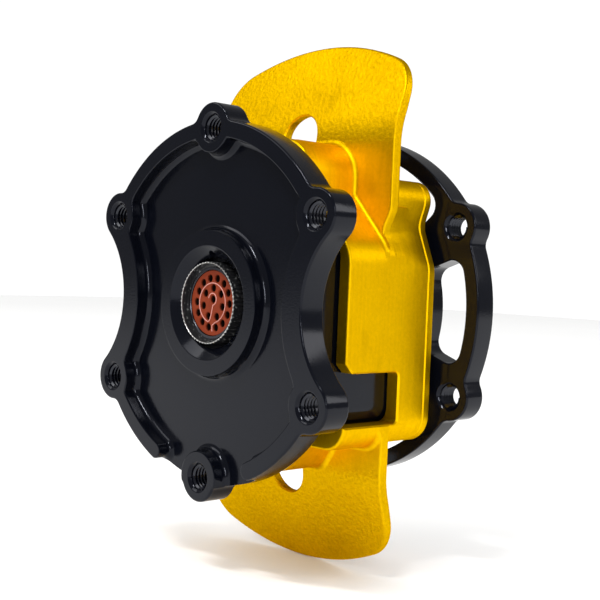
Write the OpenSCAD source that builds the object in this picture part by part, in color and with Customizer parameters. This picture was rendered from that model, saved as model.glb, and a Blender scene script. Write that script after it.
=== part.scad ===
// Quick-release steering coupling: a bolt-on wheel plate with its hub, a spring-loaded
// two-wing release sleeve, six locking balls, and a column flange with its spigot.
// +Y is the coupling axis, towards the column; +Z is up; the wheel face lies on Y = 0.

/* [Bolt circle] */
// Radius of the bolt circle on both faces
bolt_circle_r = 35; // [34:0.25:36.5]
// Radius of the round ear about each bolt hole
ear_r = 5; // [4.5:0.1:5.5]
// Radius of the fillets at the root of each ear
ear_fillet = 2.5; // [1.5:0.25:3]
// Radius of the tapped bolt holes
bolt_hole_r = 2.1; // [1.6:0.05:2.6]
// Radius of the countersink at each bolt hole
countersink_r = 3; // [2.8:0.1:3.6]
// Depth of the countersink at each bolt hole
countersink_depth = 0.45; // [0.2:0.05:0.5]

/* [Wheel plate] */
// Thickness of the wheel plate
plate_t = 6; // [5.5:0.25:8]
// Radius of the wheel plate between its ears
plate_r = 36.5; // [36:0.25:38]
// Distance from the axis to the centre of each side scallop
scallop_x = 46.5; // [46:0.25:48]
// Depth of the pocket in the front face
pocket_depth = 3.3; // [2:0.1:3.8]
// Width of the raised rim
rim_w = 3.5; // [2.5:0.25:4.5]
// Width of the rim at the side scallops
side_rim_w = 5.4; // [4:0.2:6]
// Half angle of the gap in the rim at the bottom
rim_gap_angle = 24.7; // [20:0.5:28]
// How far the pocket's wall stands off the ears
boss_extra = 0.3; // [0:0.1:0.6]
// Outer radius of the raised ring at the centre
ring_r = 14.7; // [14:0.1:16]
// How far the ring's face lies behind the rim's face
ring_drop = 0.4; // [0:0.1:1]
// Radius of the cone's mouth in the ring
ring_mouth_r = 11.3; // [10.6:0.1:12.5]
// Radius of the connector bore in the plate
plate_bore_r = 9.2; // [8.9:0.1:10]
// Depth of the cone in the ring
ring_cone_depth = 1.6; // [1:0.1:1.9]
// Radius of the index notch at the top of the bore
index_notch_r = 1; // [0.6:0.1:1.4]
// Radius of the hub boss that fits into the plate from behind
boss_r = 12; // [11.6:0.1:12.8]
// Depth of the hub boss in the plate
boss_len = 3; // [2:0.1:3.2]

/* [Release sleeve] */
// Gap between the plate and the sleeve at rest
sleeve_gap = 7.5; // [7.25:0.25:9]
// Travel of the sleeve towards the plate
sleeve_travel = 5; // [4:0.25:5.25]
// Length of the sleeve in front of the wings
front_len = 11; // [10:0.5:13]
// Length of the sleeve from the wings' front face to its rear end
rear_len = 14.5; // [14:0.25:17]
// Half the width of the sleeve over its side flats
sleeve_half_w = 27; // [26.5:0.25:28]
// Wall of the sleeve
sleeve_wall = 3; // [2.4:0.1:3.2]
// Clearance between the sleeve and the hub
slide_gap = 0.4; // [0.2:0.05:0.6]
// Height of the upper hump's top over the axis
hump_top = 33.6; // [33:0.2:34.4]
// Half the width of the upper hump
hump_half_w = 16.9; // [15:0.1:18]
// Radius of the upper hump's corners
hump_corner_r = 7.4; // [5:0.2:8]
// How far the upper hump reaches in front of the sleeve's front end
hump_lead = 2.2; // [0:0.1:2.2]
// Height at which the upper hump meets the shoulders
shoulder_z = 22.7; // [22.1:0.2:24.5]
// Height of the shoulders at the side flats
shoulder_low_z = 12.5; // [11:0.25:14]
// Depth of the front part's floor below the axis
front_floor_z = 27.6; // [27:0.2:29]
// Half the width of the lower hump
keel_half_w = 11; // [10:0.25:12.5]
// Height of the rear part's top over the axis
rear_top_z = 26.7; // [26.3:0.1:27.5]
// Depth of the rear part's floor below the axis
rear_floor_z = 26.7; // [26.2:0.25:27.5]
// Distance of the seam round the rear part from the sleeve's rear end
seam_lead = 2.2; // [1.5:0.1:3]
// Depth of the seam
seam_depth = 0.25; // [0.1:0.05:0.4]
// Length of the hub's guide feet in the sleeve's corners
foot_len = 3.2; // [2:0.1:3.6]
// Height of the side notch's upper edge below the axis
notch_top_z = 12.3; // [10:0.2:14]
// Height of the side notch's lower edge below the axis
notch_low_z = 22.7; // [18:0.2:23]
// Length of the side notch from the sleeve's front end
notch_len = 15.5; // [10:0.5:17]

/* [Wings] */
// Radius of the wing tips about the axis
wing_r = 55.3; // [52:0.5:60]
// Thickness of the wings
wing_t = 2.4; // [2:0.1:3]
// Radius of the scoops at the wings' roots
scoop_r = 7; // [5:0.5:10]
// Depth of the scoops at the wings' roots
scoop_depth = 1.8; // [1:0.1:2.5]
// Height of the scoops over the axis
scoop_z = 15.7; // [15:0.1:17]
// Radius of the wing corners
wing_corner_r = 9; // [6:0.5:11]
// Height at which the wings start to bend
bend_z = 33; // [32:0.5:34]
// Radius of the bend at the wings' front face
bend_r = 20; // [15:1:30]
// Angle of the bend
bend_angle = 20; // [10:1:26]
// Radius of the arched hole in each wing
arch_r = 4.8; // [3.5:0.1:5.5]
// Height of the arched hole's centre over the hump
arch_rise = 2; // [1:0.25:3]

/* [Ball lock] */
// Radius of the locking balls
ball_r = 3; // [2.75:0.05:3.2]
// Depth of the spigot's ball groove
ball_bite = 1.45; // [1.2:0.05:1.5]
// Radius of the spigot
spigot_r = 14.95; // [14.8:0.05:15.3]
// Clearance between the spigot and the hub bore
spigot_gap = 0.2; // [0.1:0.05:0.3]
// Clearance between the balls and what holds them
ball_gap = 0.1; // [0.05:0.05:0.2]
// Clearance between the balls and the sleeve's cam
cam_gap = 0.06; // [0.04:0.02:0.12]
// Length of the sleeve's cam
cam_len = 7; // [6.5:0.25:8]
// Length of cam in front of the balls' line of contact
cam_lead = 0.94; // [0.5:0.02:1.2]

/* [Spline] */
// Number of spline teeth
spline_teeth = 24; // [16:2:30]
// Root radius of the spigot's spline
spline_root_r = 13.2; // [12.8:0.1:13.6]
// Height of the spline teeth
spline_tooth_h = 1.3; // [1:0.1:1.6]
// Clearance round the spline teeth
spline_gap = 0.15; // [0.1:0.05:0.25]
// Length of the spline
spline_len = 10; // [7:0.5:10]

/* [Return springs] */
// Radius of the guide pins
guide_r = 1.2; // [1:0.1:1.3]
// Wire radius of the return springs
wire_r = 0.35; // [0.25:0.05:0.4]
// Clearance between the springs and their guide pins
coil_gap = 0.35; // [0.2:0.05:0.4]
// Number of turns in each return spring
spring_turns = 9; // [6:1:11]
// Wall of the guide bushes
bush_wall = 0.8; // [0.5:0.1:1]
// Depth of the guide pins in the plate
pin_seat = 1.5; // [1:0.1:2]

/* [Column flange] */
// Thickness of the column flange
flange_t = 5.3; // [5:0.1:7]
// Radius of the column flange between its ears
flange_r = 37; // [36.5:0.25:38]
// Inner radius of the arc slots
slot_inner_r = 24; // [23:0.25:26]
// Width of the rim outside the arc slots
flange_rim_w = 3.3; // [3:0.1:4.5]
// Half angle of the arc slots
slot_half_angle = 20; // [16:0.5:21]
// Corner radius of the arc slots
slot_corner_r = 3; // [2:0.25:4]
// Radius of the spigot's base disc
base_r = 21; // [20.5:0.25:22]
// Thickness of the spigot's base disc
base_t = 2.8; // [2.4:0.1:3.2]
// Radius of the spigot screws' circle
screw_circle_r = 17.9; // [17.8:0.1:18]
// Thread radius of the spigot screws
screw_r = 1.5; // [1.2:0.05:1.6]
// Head radius of the spigot screws
screw_head_r = 2.7; // [2.4:0.05:2.8]

/* [Retaining ring] */
// Thickness of the retaining ring
snap_t = 1; // [0.8:0.05:1.2]
// Radial width of the retaining ring
snap_w = 5.1; // [4.8:0.1:5.6]
// Depth of the retaining ring's groove in the hub
snap_groove = 1.3; // [0.8:0.1:1.5]
// Gap between the sleeve and the retaining ring
stop_gap = 0.1; // [0.05:0.05:0.2]
// Length of hub tube behind the retaining ring
tube_lip = 0.4; // [0.3:0.05:0.8]
// Gap between the hub and the column flange
flange_gap = 0.34; // [0.2:0.02:0.6]

/* [Connector] */
// Radius of the insert
insert_r = 6.6; // [6.4:0.05:6.8]
// Wall of the connector shells
shell_wall = 0.7; // [0.5:0.05:0.9]
// Radius of the knurled nut
nut_r = 8.3; // [8:0.05:8.6]
// Number of knurls on the nut
knurl_count = 60; // [40:2:80]
// Depth of the knurls
knurl_depth = 0.22; // [0.1:0.02:0.3]
// How far the nut's face lies behind the wheel face
nut_drop = 1; // [0.6:0.1:1.6]
// How far the insert's face lies behind the shell's face
insert_drop = 1.7; // [1:0.1:2.5]
// Radius of the contact holes
contact_hole_r = 0.66; // [0.55:0.01:0.7]
// Depth of the contact holes in front of the contacts
contact_drop = 2.4; // [1:0.1:3]
// Radius of the bores in the socket contacts
socket_r = 0.4; // [0.3:0.02:0.45]
// Radius of the outer ring of contacts
outer_ring_r = 5.04; // [4.9:0.02:5.2]
// Number of contacts in the outer ring
outer_ring_count = 14; // [10:1:15]
// Radius of the inner ring of contacts
inner_ring_r = 3; // [2.8:0.05:3.2]
// Number of contacts in the inner ring
inner_ring_count = 7; // [5:1:8]
// Height of the middle contact over the axis
middle_contact_z = 0.75; // [0:0.05:0.8]
// Thickness of the hub's panel that carries the wheel connector
panel_t = 3; // [2:0.1:3.5]
// Radius of the column connector's body
column_shell_r = 9.2; // [8.8:0.05:9.4]
// Depth of the recess for the column connector's nut
nut_recess = 2.5; // [2:0.1:3]
// Radius of the column connector's nut
column_nut_r = 11.6; // [11:0.1:12]

/* [Hidden] */

black = "#23222a";
gold = "#d6a500";
steel = "#b9bcc2";
brass = "#c9a24a";
orange = "#b05834";
rubber = "#151515";

$fn = 96;
eps = 0.01;          // overlap of cutting bodies
arc_step = 9;        // largest angle between points on a rounded corner
fit_gap = 0.05;      // radial clearance of seated round parts
ear_count = 6;
ear_pitch = 360 / ear_count;
ball_count = 6;
first_ball_angle = 30;

// Stations along the axis
plate_back_y = plate_t;
sleeve_front_y = plate_back_y + sleeve_gap;
wing_y = sleeve_front_y + front_len;
sleeve_back_y = wing_y + rear_len;
cam_y = sleeve_back_y - cam_len;
snap_y = sleeve_back_y + stop_gap;
tube_end_y = snap_y + snap_t + tube_lip;
flange_y = tube_end_y + flange_gap;
flange_back_y = flange_y + flange_t;
base_y = flange_back_y - base_t;
screw_head_y = flange_back_y - (screw_head_r - screw_r);
slot_outer_r = flange_r - flange_rim_w;
seam_w = 0.35;
end_gap = 0.4;       // room between the hub's shoulder and the sleeve at full travel
hub_back_y = cam_y - sleeve_travel - end_gap;

// Ball lock: the cam's slope is the balls' lift over the sleeve's travel
ball_lift = ball_bite + 0.05;
cam_slope = ball_lift / sleeve_travel;
cam_angle = atan(cam_slope);
ball_y = cam_y + ball_r * sin(cam_angle) + cam_lead;
ball_centre_r = spigot_r + ball_r - ball_bite;
function cam_r(y) = ball_centre_r + ball_r / cos(cam_angle) + cam_gap + cam_slope * (y - ball_y);
tube_gap = 0.24;     // clearance between the hub's tube and the small end of the cam
tube_r = cam_r(cam_y) - tube_gap;
cam_ring_wall = 1.6; // least wall of the sleeve's ring round the cam
cam_ring_r = cam_r(sleeve_back_y) + cam_ring_wall;
foot_low_z = 9;      // least height of the hub's guide feet over and under the axis
hub_bore_r = spigot_r + spigot_gap;

// Retaining ring, seated in its groove
snap_inner_r = tube_r - snap_groove + fit_gap;
snap_r = snap_inner_r + snap_w;

// O-ring of the spigot
seal_r = 0.8;        // wire radius
seal_lead = 5.2;     // from the O-ring to the balls
seal_y = ball_y - seal_lead;

// Dowels between the plate and the hub
dowel_r = 1.25;
dowel_x = 18.6;
dowel_seat = 1.4;
dowel_len = 5.5;

// Spring and guide positions inside the two humps
coil_r = guide_r + coil_gap + wire_r;
spring_clear = 0.35;
guide_z = hump_top - sleeve_wall - coil_r - wire_r - spring_clear;
guide_bore_gap = 0.08;
bush_r = guide_r + guide_bore_gap + bush_wall;

// Connector stations
panel_y = plate_back_y + 0.5;
panel_back_y = panel_y + panel_t;
nut_chamfer = 0.35;
hole_chamfer = 0.15; // at the mouths of the insert's holes
shell_r = insert_r + shell_wall;
shell_front_y = nut_drop - 0.1;
shell_flange_t = 1.5;
shell_back_y = panel_back_y + 4.8;
insert_front_y = shell_front_y + insert_drop;
spigot_front_y = hub_back_y - spline_len - 0.6;
column_flange_t = 2.5;
column_face_y = spigot_front_y + 1.5 - column_flange_t;
column_flange_r = 10.8;
column_insert_back_y = flange_back_y - 2.2;
column_tail = 0.4;   // how far the column contacts stand out of their insert
contact_r = contact_hole_r - 0.02;

function unit(v) = v / norm(v);
function polar(r, a) = [r * sin(a), r * cos(a)];   // angle a clockwise from +Z
function mirrored(pts) = [for (i = [len(pts) - 1:-1:0]) [-pts[i].x, pts[i].y]];
function reversed(list) = [for (i = [len(list) - 1:-1:0]) list[i]];
function turned(d) = d > 180 ? d - 360 : d < -180 ? d + 360 : d;

// Points of the arc that rounds corner p between its neighbours a and b
function corner(p, a, b, r) =
    r <= 0 ? [p] :
    let (u = unit(a - p), v = unit(b - p),
         half = acos(u * v) / 2,
         c = p + unit(u + v) * r / sin(half),
         s = p + u * r / tan(half) - c,
         e = p + v * r / tan(half) - c,
         from = atan2(s.y, s.x),
         sweep = turned(atan2(e.y, e.x) - from),
         n = max(2, ceil(abs(sweep) / arc_step)))
    [for (k = [0:n]) c + r * [cos(from + sweep * k / n), sin(from + sweep * k / n)]];

function rounded(pts, radii) =
    let (n = len(pts))
    [for (i = [0:n - 1]) each corner(pts[i], pts[(i + n - 1) % n], pts[(i + 1) % n], radii[i])];

function contact_places() = concat(
    [for (i = [0:outer_ring_count - 1]) polar(outer_ring_r, (i + 0.5) * 360 / outer_ring_count)],
    [for (i = [0:inner_ring_count - 1]) polar(inner_ring_r, i * 360 / inner_ring_count)],
    [[0, middle_contact_z]]);

// Extrudes an XZ outline from y0 to y1
module along_y(y0, y1) {
    translate([0, y1, 0]) rotate([90, 0, 0]) linear_extrude(y1 - y0) children();
}

// Revolves a profile of [radius, y] points about the coupling axis
module about_y() {
    rotate([-90, 0, 0]) rotate_extrude() children();
}

module rod_y(r, y0, y1) {
    translate([0, y0, 0]) rotate([-90, 0, 0]) cylinder(r = r, h = y1 - y0);
}

module cone_y(r0, r1, y0, y1) {
    translate([0, y0, 0]) rotate([-90, 0, 0]) cylinder(r1 = r0, r2 = r1, h = y1 - y0);
}

module at_polar(r, a) {
    translate([r * sin(a), 0, r * cos(a)]) children();
}

// Disc with six ears, each blended into the disc by two fillets
module eared_disc(disc_r, y0, y1) {
    fillet_r = disc_r + ear_fillet;
    fillet_angle = acos((pow(bolt_circle_r, 2) + pow(fillet_r, 2) - pow(ear_r + ear_fillet, 2))
                        / (2 * bolt_circle_r * fillet_r));
    rod_y(disc_r, y0, y1);
    for (i = [0:ear_count - 1]) {
        a = i * ear_pitch;
        at_polar(bolt_circle_r, a) rod_y(ear_r, y0, y1);
        for (side = [-1, 1]) {
            b = a + side * fillet_angle;
            difference() {
                along_y(y0, y1)
                    polygon([polar(bolt_circle_r, a), polar(fillet_r, b), polar(disc_r - ear_fillet, b)]);
                at_polar(fillet_r, b) rod_y(ear_fillet, y0 - 1, y1 + 1);
            }
        }
    }
}

module ear_holes(front_y, back_y) {
    for (i = [0:ear_count - 1]) at_polar(bolt_circle_r, i * ear_pitch) {
        rod_y(bolt_hole_r, front_y - eps, back_y + eps);
        cone_y(countersink_r + eps, bolt_hole_r, front_y - eps, front_y + countersink_depth);
        cone_y(bolt_hole_r, countersink_r + eps, back_y - countersink_depth, back_y + eps);
    }
}

// ---- Wheel side ----

scallop_r = norm(polar(bolt_circle_r, ear_pitch) - [scallop_x, 0]) - ear_r;
ring_fillet = 0.9;   // slope at the foot of the raised ring

module plate_blank() {
    difference() {
        eared_disc(plate_r, 0, plate_t);
        for (side = [-1, 1]) translate([side * scallop_x, 0, 0]) rod_y(scallop_r, -1, plate_t + 1);
    }
    // The side ears stay whole where the scallops pass them
    for (i = [1, 2, 4, 5]) at_polar(bolt_circle_r, i * ear_pitch) rod_y(ear_r, 0, plate_t);
}

module pocket_outline() {
    reach = plate_r + 2 * ear_r;
    rim_mid_r = plate_r - rim_w / 2;
    end_angle = rim_gap_angle + asin(rim_w / 2 / rim_mid_r);
    difference() {
        union() {
            circle(r = plate_r - rim_w);
            polygon([[0, 0], polar(reach, 180 - rim_gap_angle), polar(reach, 180),
                     polar(reach, 180 + rim_gap_angle)]);
        }
        for (side = [-1, 1]) {
            translate([side * scallop_x, 0]) circle(r = scallop_r + side_rim_w);
            translate(polar(rim_mid_r, 180 + side * (end_angle - 2 * asin(rim_w / 4 / rim_mid_r))))
                circle(r = rim_w / 2);
        }
        for (i = [0:ear_count - 1])
            translate(polar(bolt_circle_r, i * ear_pitch)) circle(r = ear_r + boss_extra);
    }
}

module wheel_plate() {
    color(black) difference() {
        plate_blank();
        difference() {
            along_y(-eps, pocket_depth) pocket_outline();
            rod_y(ring_r, ring_drop, pocket_depth + 1);
            cone_y(ring_r, ring_r + ring_fillet, pocket_depth - ring_fillet, pocket_depth + eps);
        }
        rod_y(plate_bore_r, -1, plate_t + 1);
        cone_y(ring_mouth_r, plate_bore_r, ring_drop - eps, ring_drop + ring_cone_depth);
        rod_y(boss_r + fit_gap, plate_t - boss_len, plate_t + 1);
        translate([0, 0, plate_bore_r + 0.3]) rod_y(index_notch_r, -1, plate_t - boss_len + eps);
        ear_holes(0, plate_t);
        for (side = [-1, 1]) {
            translate([0, 0, side * guide_z]) rod_y(guide_r, plate_t - pin_seat, plate_t + eps);
            translate([side * dowel_x, 0, 0]) rod_y(dowel_r, plate_t - dowel_seat, plate_t + eps);
        }
    }
}

module hub_dowels() {
    color(steel) for (side = [-1, 1]) translate([side * dowel_x, 0, 0])
        rod_y(dowel_r, plate_t - dowel_seat, plate_t - dowel_seat + dowel_len);
}

// Inside line of the sleeve, set in from its outer faces; with more inset it is the hub's outline
function inner_profile(inset) =
    let (a = [hump_half_w, shoulder_z], b = [sleeve_half_w, shoulder_low_z],
         along = unit(b - a),
         n = [-along.y, along.x],
         c = n * b - inset,
         w = sleeve_half_w - inset,
         top = rear_top_z - roof_step - inset,
         floor_z = -(rear_floor_z - inset),
         right = [[(c - n.y * top) / n.x, top], [w, (c - n.x * w) / n.y], [w, floor_z]])
    rounded(concat(right, mirrored(right)), concat(inner_radii, reversed(inner_radii)));

inner_radii = [3, 3, 4];
roof_step = 0.7;     // how much thicker than the wall the rear roof is

module spline_outline(gap) {
    pitch = 360 / spline_teeth;
    tip_r = spline_root_r + spline_tooth_h + gap;
    side = gap / spline_root_r * 180 / PI;
    circle(r = spline_root_r + gap);
    for (i = [0:spline_teeth - 1]) {
        a = i * pitch;
        polygon([polar(spline_root_r - 0.5, a - pitch * 0.3 - side), polar(tip_r, a - pitch * 0.19 - side),
                 polar(tip_r, a + pitch * 0.19 + side), polar(spline_root_r - 0.5, a + pitch * 0.3 + side)]);
    }
}

// Corners of the hub's outline that reach back from y0, outside the ring that carries the cam
module foot_corners(inset, ring_r, low_z, y0) {
    difference() {
        along_y(y0 - eps, y0 + foot_len) polygon(inner_profile(inset));
        rod_y(ring_r, y0 - 1, y0 + foot_len + 1);
        translate([-sleeve_half_w, y0 - 1, -low_z]) cube([2 * sleeve_half_w, foot_len + 2, 2 * low_z]);
    }
}

module hub_body() {
    color(black) difference() {
        union() {
            along_y(plate_back_y, hub_back_y) polygon(inner_profile(sleeve_wall + slide_gap));
            foot_corners(sleeve_wall + slide_gap, cam_ring_r + slide_gap, foot_low_z, hub_back_y);
            rod_y(boss_r, plate_t - boss_len + fit_gap, plate_back_y + eps);
            rod_y(tube_r, hub_back_y - eps, tube_end_y);
        }
        rod_y(plate_bore_r, 0, panel_y);
        rod_y(shell_r + fit_gap, 0, panel_back_y + eps);
        rod_y(spline_root_r + spline_gap, panel_back_y, hub_back_y);
        along_y(spigot_front_y - 2, hub_back_y) spline_outline(spline_gap);
        rod_y(hub_bore_r, hub_back_y - eps, tube_end_y + 1);
        for (i = [0:ball_count - 1]) rotate([0, first_ball_angle + i * 360 / ball_count, 0])
            translate([0, ball_y, 0]) cylinder(r = ball_r + ball_gap, h = 2 * tube_r);
        difference() {
            rod_y(tube_r + 1, snap_y, snap_y + snap_t);
            rod_y(tube_r - snap_groove, snap_y - eps, snap_y + snap_t + eps);
        }
        for (side = [-1, 1]) translate([side * dowel_x, 0, 0])
            rod_y(dowel_r, 0, plate_t - dowel_seat + dowel_len);
    }
}

module guide_pins() {
    color(steel) for (side = [-1, 1]) translate([0, 0, side * guide_z]) {
        rod_y(guide_r, plate_t - pin_seat, wing_y + wing_t - 0.3);
        cone_y(guide_r, guide_r - 0.3, wing_y + wing_t - 0.3, wing_y + wing_t);
    }
}

// Height along a spring after t turns, with one closed turn at each end
function spring_rise(t, len) =
    let (closed = 2.2 * wire_r, open = (len - 2 * wire_r - 2 * closed) / (spring_turns - 2))
    t < 1 ? closed * t :
    t < spring_turns - 1 ? closed + open * (t - 1) :
    closed + open * (spring_turns - 2) + closed * (t - spring_turns + 1);

module coil(y0, y1) {
    sides = 8;
    per_turn = 14;
    rings = spring_turns * per_turn;
    points = [for (i = [0:rings], k = [0:sides - 1])
        let (a = 360 * i / per_turn, b = 360 * k / sides, r = coil_r + wire_r * cos(b))
        [r * sin(a), y0 + wire_r + spring_rise(i / per_turn, y1 - y0) + wire_r * sin(b), r * cos(a)]];
    walls = [for (i = [0:rings - 1], k = [0:sides - 1])
        let (p = i * sides, q = p + sides, m = (k + 1) % sides)
        each [[p + k, q + k, q + m], [p + k, q + m, p + m]]];
    caps = [[for (k = [0:sides - 1]) k], [for (k = [sides - 1:-1:0]) rings * sides + k]];
    polyhedron(points, concat(walls, caps));
}

module return_springs() {
    color(steel) for (side = [-1, 1])
        translate([0, 0, side * guide_z]) coil(plate_back_y, wing_y - fit_gap);
}

// ---- Release sleeve ----

front_radii = [hump_corner_r, 2, 4, 5, 3.4, 3.4];
function front_profile() =
    let (slope_w = 4,
         right = [[hump_half_w, hump_top], [hump_half_w, shoulder_z], [sleeve_half_w, shoulder_low_z],
                  [sleeve_half_w, -front_floor_z], [keel_half_w + slope_w, -front_floor_z],
                  [keel_half_w, -hump_top]])
    rounded(concat(right, mirrored(right)), concat(front_radii, reversed(front_radii)));

rear_radii = [4.2, 1.8, 3, 5];
function rear_profile(inset = 0) =
    let (lobe_w = 0.2, neck = 3.3, neck_z = 9.4, low_z = 17.8, w = sleeve_half_w - inset,
         right = [[w - lobe_w, rear_top_z - inset], [w - neck, rear_top_z - neck_z],
                  [w, rear_top_z - low_z], [w, inset - rear_floor_z]])
    rounded(concat(right, mirrored(right)), concat(rear_radii, reversed(rear_radii)));

// Fine groove round the rear part
module seam() {
    y0 = sleeve_back_y - seam_lead;
    difference() {
        along_y(y0, y0 + seam_w) polygon(rear_profile(-1));
        along_y(y0 - 1, y0 + seam_w + 1) polygon(rear_profile(seam_depth));
    }
}

// Half of the wings' outline: a disc cut to the sleeve's width, with its corners rounded
module wing_outline() {
    corner_x = sleeve_half_w - wing_corner_r;
    corner_z = sqrt(pow(wing_r - wing_corner_r, 2) - pow(corner_x, 2));
    translate([-sleeve_half_w, 0]) square([2 * sleeve_half_w, corner_z]);
    for (side = [-1, 1]) translate([side * corner_x, corner_z]) circle(r = wing_corner_r);
    intersection() {
        circle(r = wing_r);
        polygon([[0, 0], 2 * [-corner_x, corner_z], 2 * [corner_x, corner_z]]);
    }
}

// Side view of a wing as [y, z] points: flat, then bent, then straight
function wing_section() =
    let (n = ceil(bend_angle / 2.5),
         c = [wing_y + bend_r, bend_z],
         front = [for (i = [0:n]) c + bend_r * [-cos(bend_angle * i / n), sin(bend_angle * i / n)]],
         back = [for (i = [n:-1:0])
                 c + (bend_r - wing_t) * [-cos(bend_angle * i / n), sin(bend_angle * i / n)]],
         out = 1.2 * (wing_r - bend_z) * [sin(bend_angle), cos(bend_angle)])
    concat([[wing_y, 0]], front, [front[n] + out, back[0] + out], back, [[wing_y + wing_t, 0]]);

module wing() {
    difference() {
        intersection() {
            along_y(wing_y - 1, wing_y + wing_r) wing_outline();
            rotate([90, 0, 90]) linear_extrude(4 * sleeve_half_w, center = true) polygon(wing_section());
        }
        along_y(wing_y - 1, wing_y + wing_r) {
            translate([0, hump_top + arch_rise]) circle(r = arch_r);
            translate([-arch_r, hump_top]) square([2 * arch_r, arch_rise]);
        }
        for (side = [-1, 1])
            translate([side * (sleeve_half_w - scoop_depth + scoop_r), 0, scoop_z])
                rod_y(scoop_r, wing_y - 1, wing_y + wing_t + 1);
    }
}

module spring_room(half_w, corner_r) {
    polygon(rounded([[half_w, hump_top - sleeve_wall], [half_w, 0], [-half_w, 0],
                     [-half_w, hump_top - sleeve_wall]], [corner_r, 0, 0, corner_r]));
}

// The upper hump by itself, which reaches further forward than the rest of the sleeve
module hump_nose() {
    y0 = sleeve_front_y - hump_lead;
    difference() {
        along_y(y0, sleeve_front_y + 1) polygon(front_profile());
        translate([-2 * sleeve_half_w, y0 - 1, shoulder_z - 4 * sleeve_half_w])
            cube([4 * sleeve_half_w, hump_lead + 3, 4 * sleeve_half_w]);
    }
}

// Side opening of the sleeve as [y, z] points, with a bevelled tongue above it
module side_notch() {
    lead = 2;
    front = sleeve_front_y - 1;
    back = sleeve_front_y + notch_len;
    rotate([90, 0, 90]) linear_extrude(4 * sleeve_half_w, center = true)
        polygon(rounded([[front, -notch_top_z + lead + 1], [sleeve_front_y + lead, -notch_top_z],
                         [back, -notch_top_z], [back, -notch_low_z], [front, -notch_low_z]],
                        [0, 0.8, 1, 1, 0]));
}

module release_sleeve() {
    color(gold) difference() {
        union() {
            along_y(sleeve_front_y, wing_y + 1) polygon(front_profile());
            hump_nose();
            along_y(wing_y, sleeve_back_y) polygon(rear_profile());
            wing();
            mirror([0, 0, 1]) wing();
        }
        along_y(sleeve_front_y - hump_lead - 1, cam_y) polygon(inner_profile(sleeve_wall));
        foot_corners(sleeve_wall, cam_ring_r, foot_low_z - slide_gap, cam_y);
        along_y(sleeve_front_y - hump_lead - 1, wing_y) {
            spring_room(hump_half_w - sleeve_wall, hump_corner_r - sleeve_wall);
            mirror([0, 1]) spring_room(keel_half_w - sleeve_wall, sleeve_wall);
        }
        cone_y(cam_r(cam_y - 1), cam_r(sleeve_back_y + 1), cam_y - 1, sleeve_back_y + 1);
        side_notch();
        seam();
        for (side = [-1, 1]) translate([0, 0, side * guide_z])
            rod_y(bush_r, wing_y - 1, wing_y + wing_t + 1);
    }
}

module guide_bushes() {
    color(brass) for (side = [-1, 1]) translate([0, 0, side * guide_z]) difference() {
        rod_y(bush_r, wing_y, wing_y + wing_t);
        rod_y(guide_r + guide_bore_gap, wing_y - 1, wing_y + wing_t + 1);
    }
}

module retaining_ring() {
    lug_angle = 12;
    lug_hole_r = 0.8;
    gap_half_angle = 7;
    reach = snap_r + 2;
    color(steel) difference() {
        rod_y(snap_r, snap_y + eps, snap_y + snap_t - eps);
        rod_y(snap_inner_r, snap_y - 1, snap_y + snap_t + 1);
        along_y(snap_y - 1, snap_y + snap_t + 1)
            polygon([[0, 0], polar(reach, 180 - gap_half_angle), polar(reach, 180 + gap_half_angle)]);
        for (side = [-1, 1]) at_polar((snap_inner_r + snap_r) / 2, 180 + side * lug_angle)
            rod_y(lug_hole_r, snap_y - 1, snap_y + snap_t + 1);
    }
}

module lock_ball(i) {
    color(steel) rotate([0, first_ball_angle + (i - 1) * 360 / ball_count, 0])
        translate([0, ball_y, ball_centre_r]) sphere(r = ball_r);
}

// ---- Column side ----

module spigot() {
    bore_r = column_shell_r + fit_gap;
    lead = 1;
    color(steel) difference() {
        union() {
            along_y(spigot_front_y, hub_back_y + 0.4) spline_outline(0);
            cone_y(spline_root_r, spigot_r, hub_back_y + 0.3, hub_back_y + 0.3 + lead);
            rod_y(spigot_r, hub_back_y + 0.3 + lead, base_y + eps);
            rod_y(base_r, base_y, flange_back_y);
        }
        rod_y(bore_r, 0, flange_back_y + 1);
        rod_y(column_flange_r + fit_gap, 0, spigot_front_y + 1.5);
        rod_y(column_nut_r + 0.4, flange_back_y - nut_recess, flange_back_y + 1);
        about_y() translate([ball_centre_r, ball_y]) circle(r = ball_r + ball_gap);
        about_y() translate([hub_bore_r - seal_r, seal_y]) circle(r = seal_r);
        spigot_screw_places() {
            rod_y(screw_r, base_y - 1, flange_back_y + 1);
            cone_y(screw_r, screw_head_r + eps, screw_head_y, flange_back_y + eps);
        }
    }
}

module spigot_screw_places() {
    for (i = [0:5]) at_polar(screw_circle_r, 30 + i * 60) children();
}

module spigot_o_ring() {
    color(rubber) about_y() translate([hub_bore_r - seal_r, seal_y]) circle(r = seal_r);
}

module slot_outline() {
    inner = slot_inner_r + slot_corner_r;
    outer = slot_outer_r - slot_corner_r;
    inner_angle = slot_half_angle - asin(slot_corner_r / inner);
    outer_angle = slot_half_angle - asin(slot_corner_r / outer);
    arc_band(inner, outer, slot_half_angle);
    arc_band(slot_inner_r, inner + eps, inner_angle);
    arc_band(outer - eps, slot_outer_r, outer_angle);
    for (side = [-1, 1]) {
        translate(polar(inner, side * inner_angle)) circle(r = slot_corner_r);
        translate(polar(outer, side * outer_angle)) circle(r = slot_corner_r);
    }
}

module arc_band(r0, r1, half_angle) {
    reach = 2 * r1;
    intersection() {
        difference() {
            circle(r = r1);
            circle(r = r0);
        }
        polygon([[0, 0], polar(reach, -half_angle), polar(reach, half_angle)]);
    }
}

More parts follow.
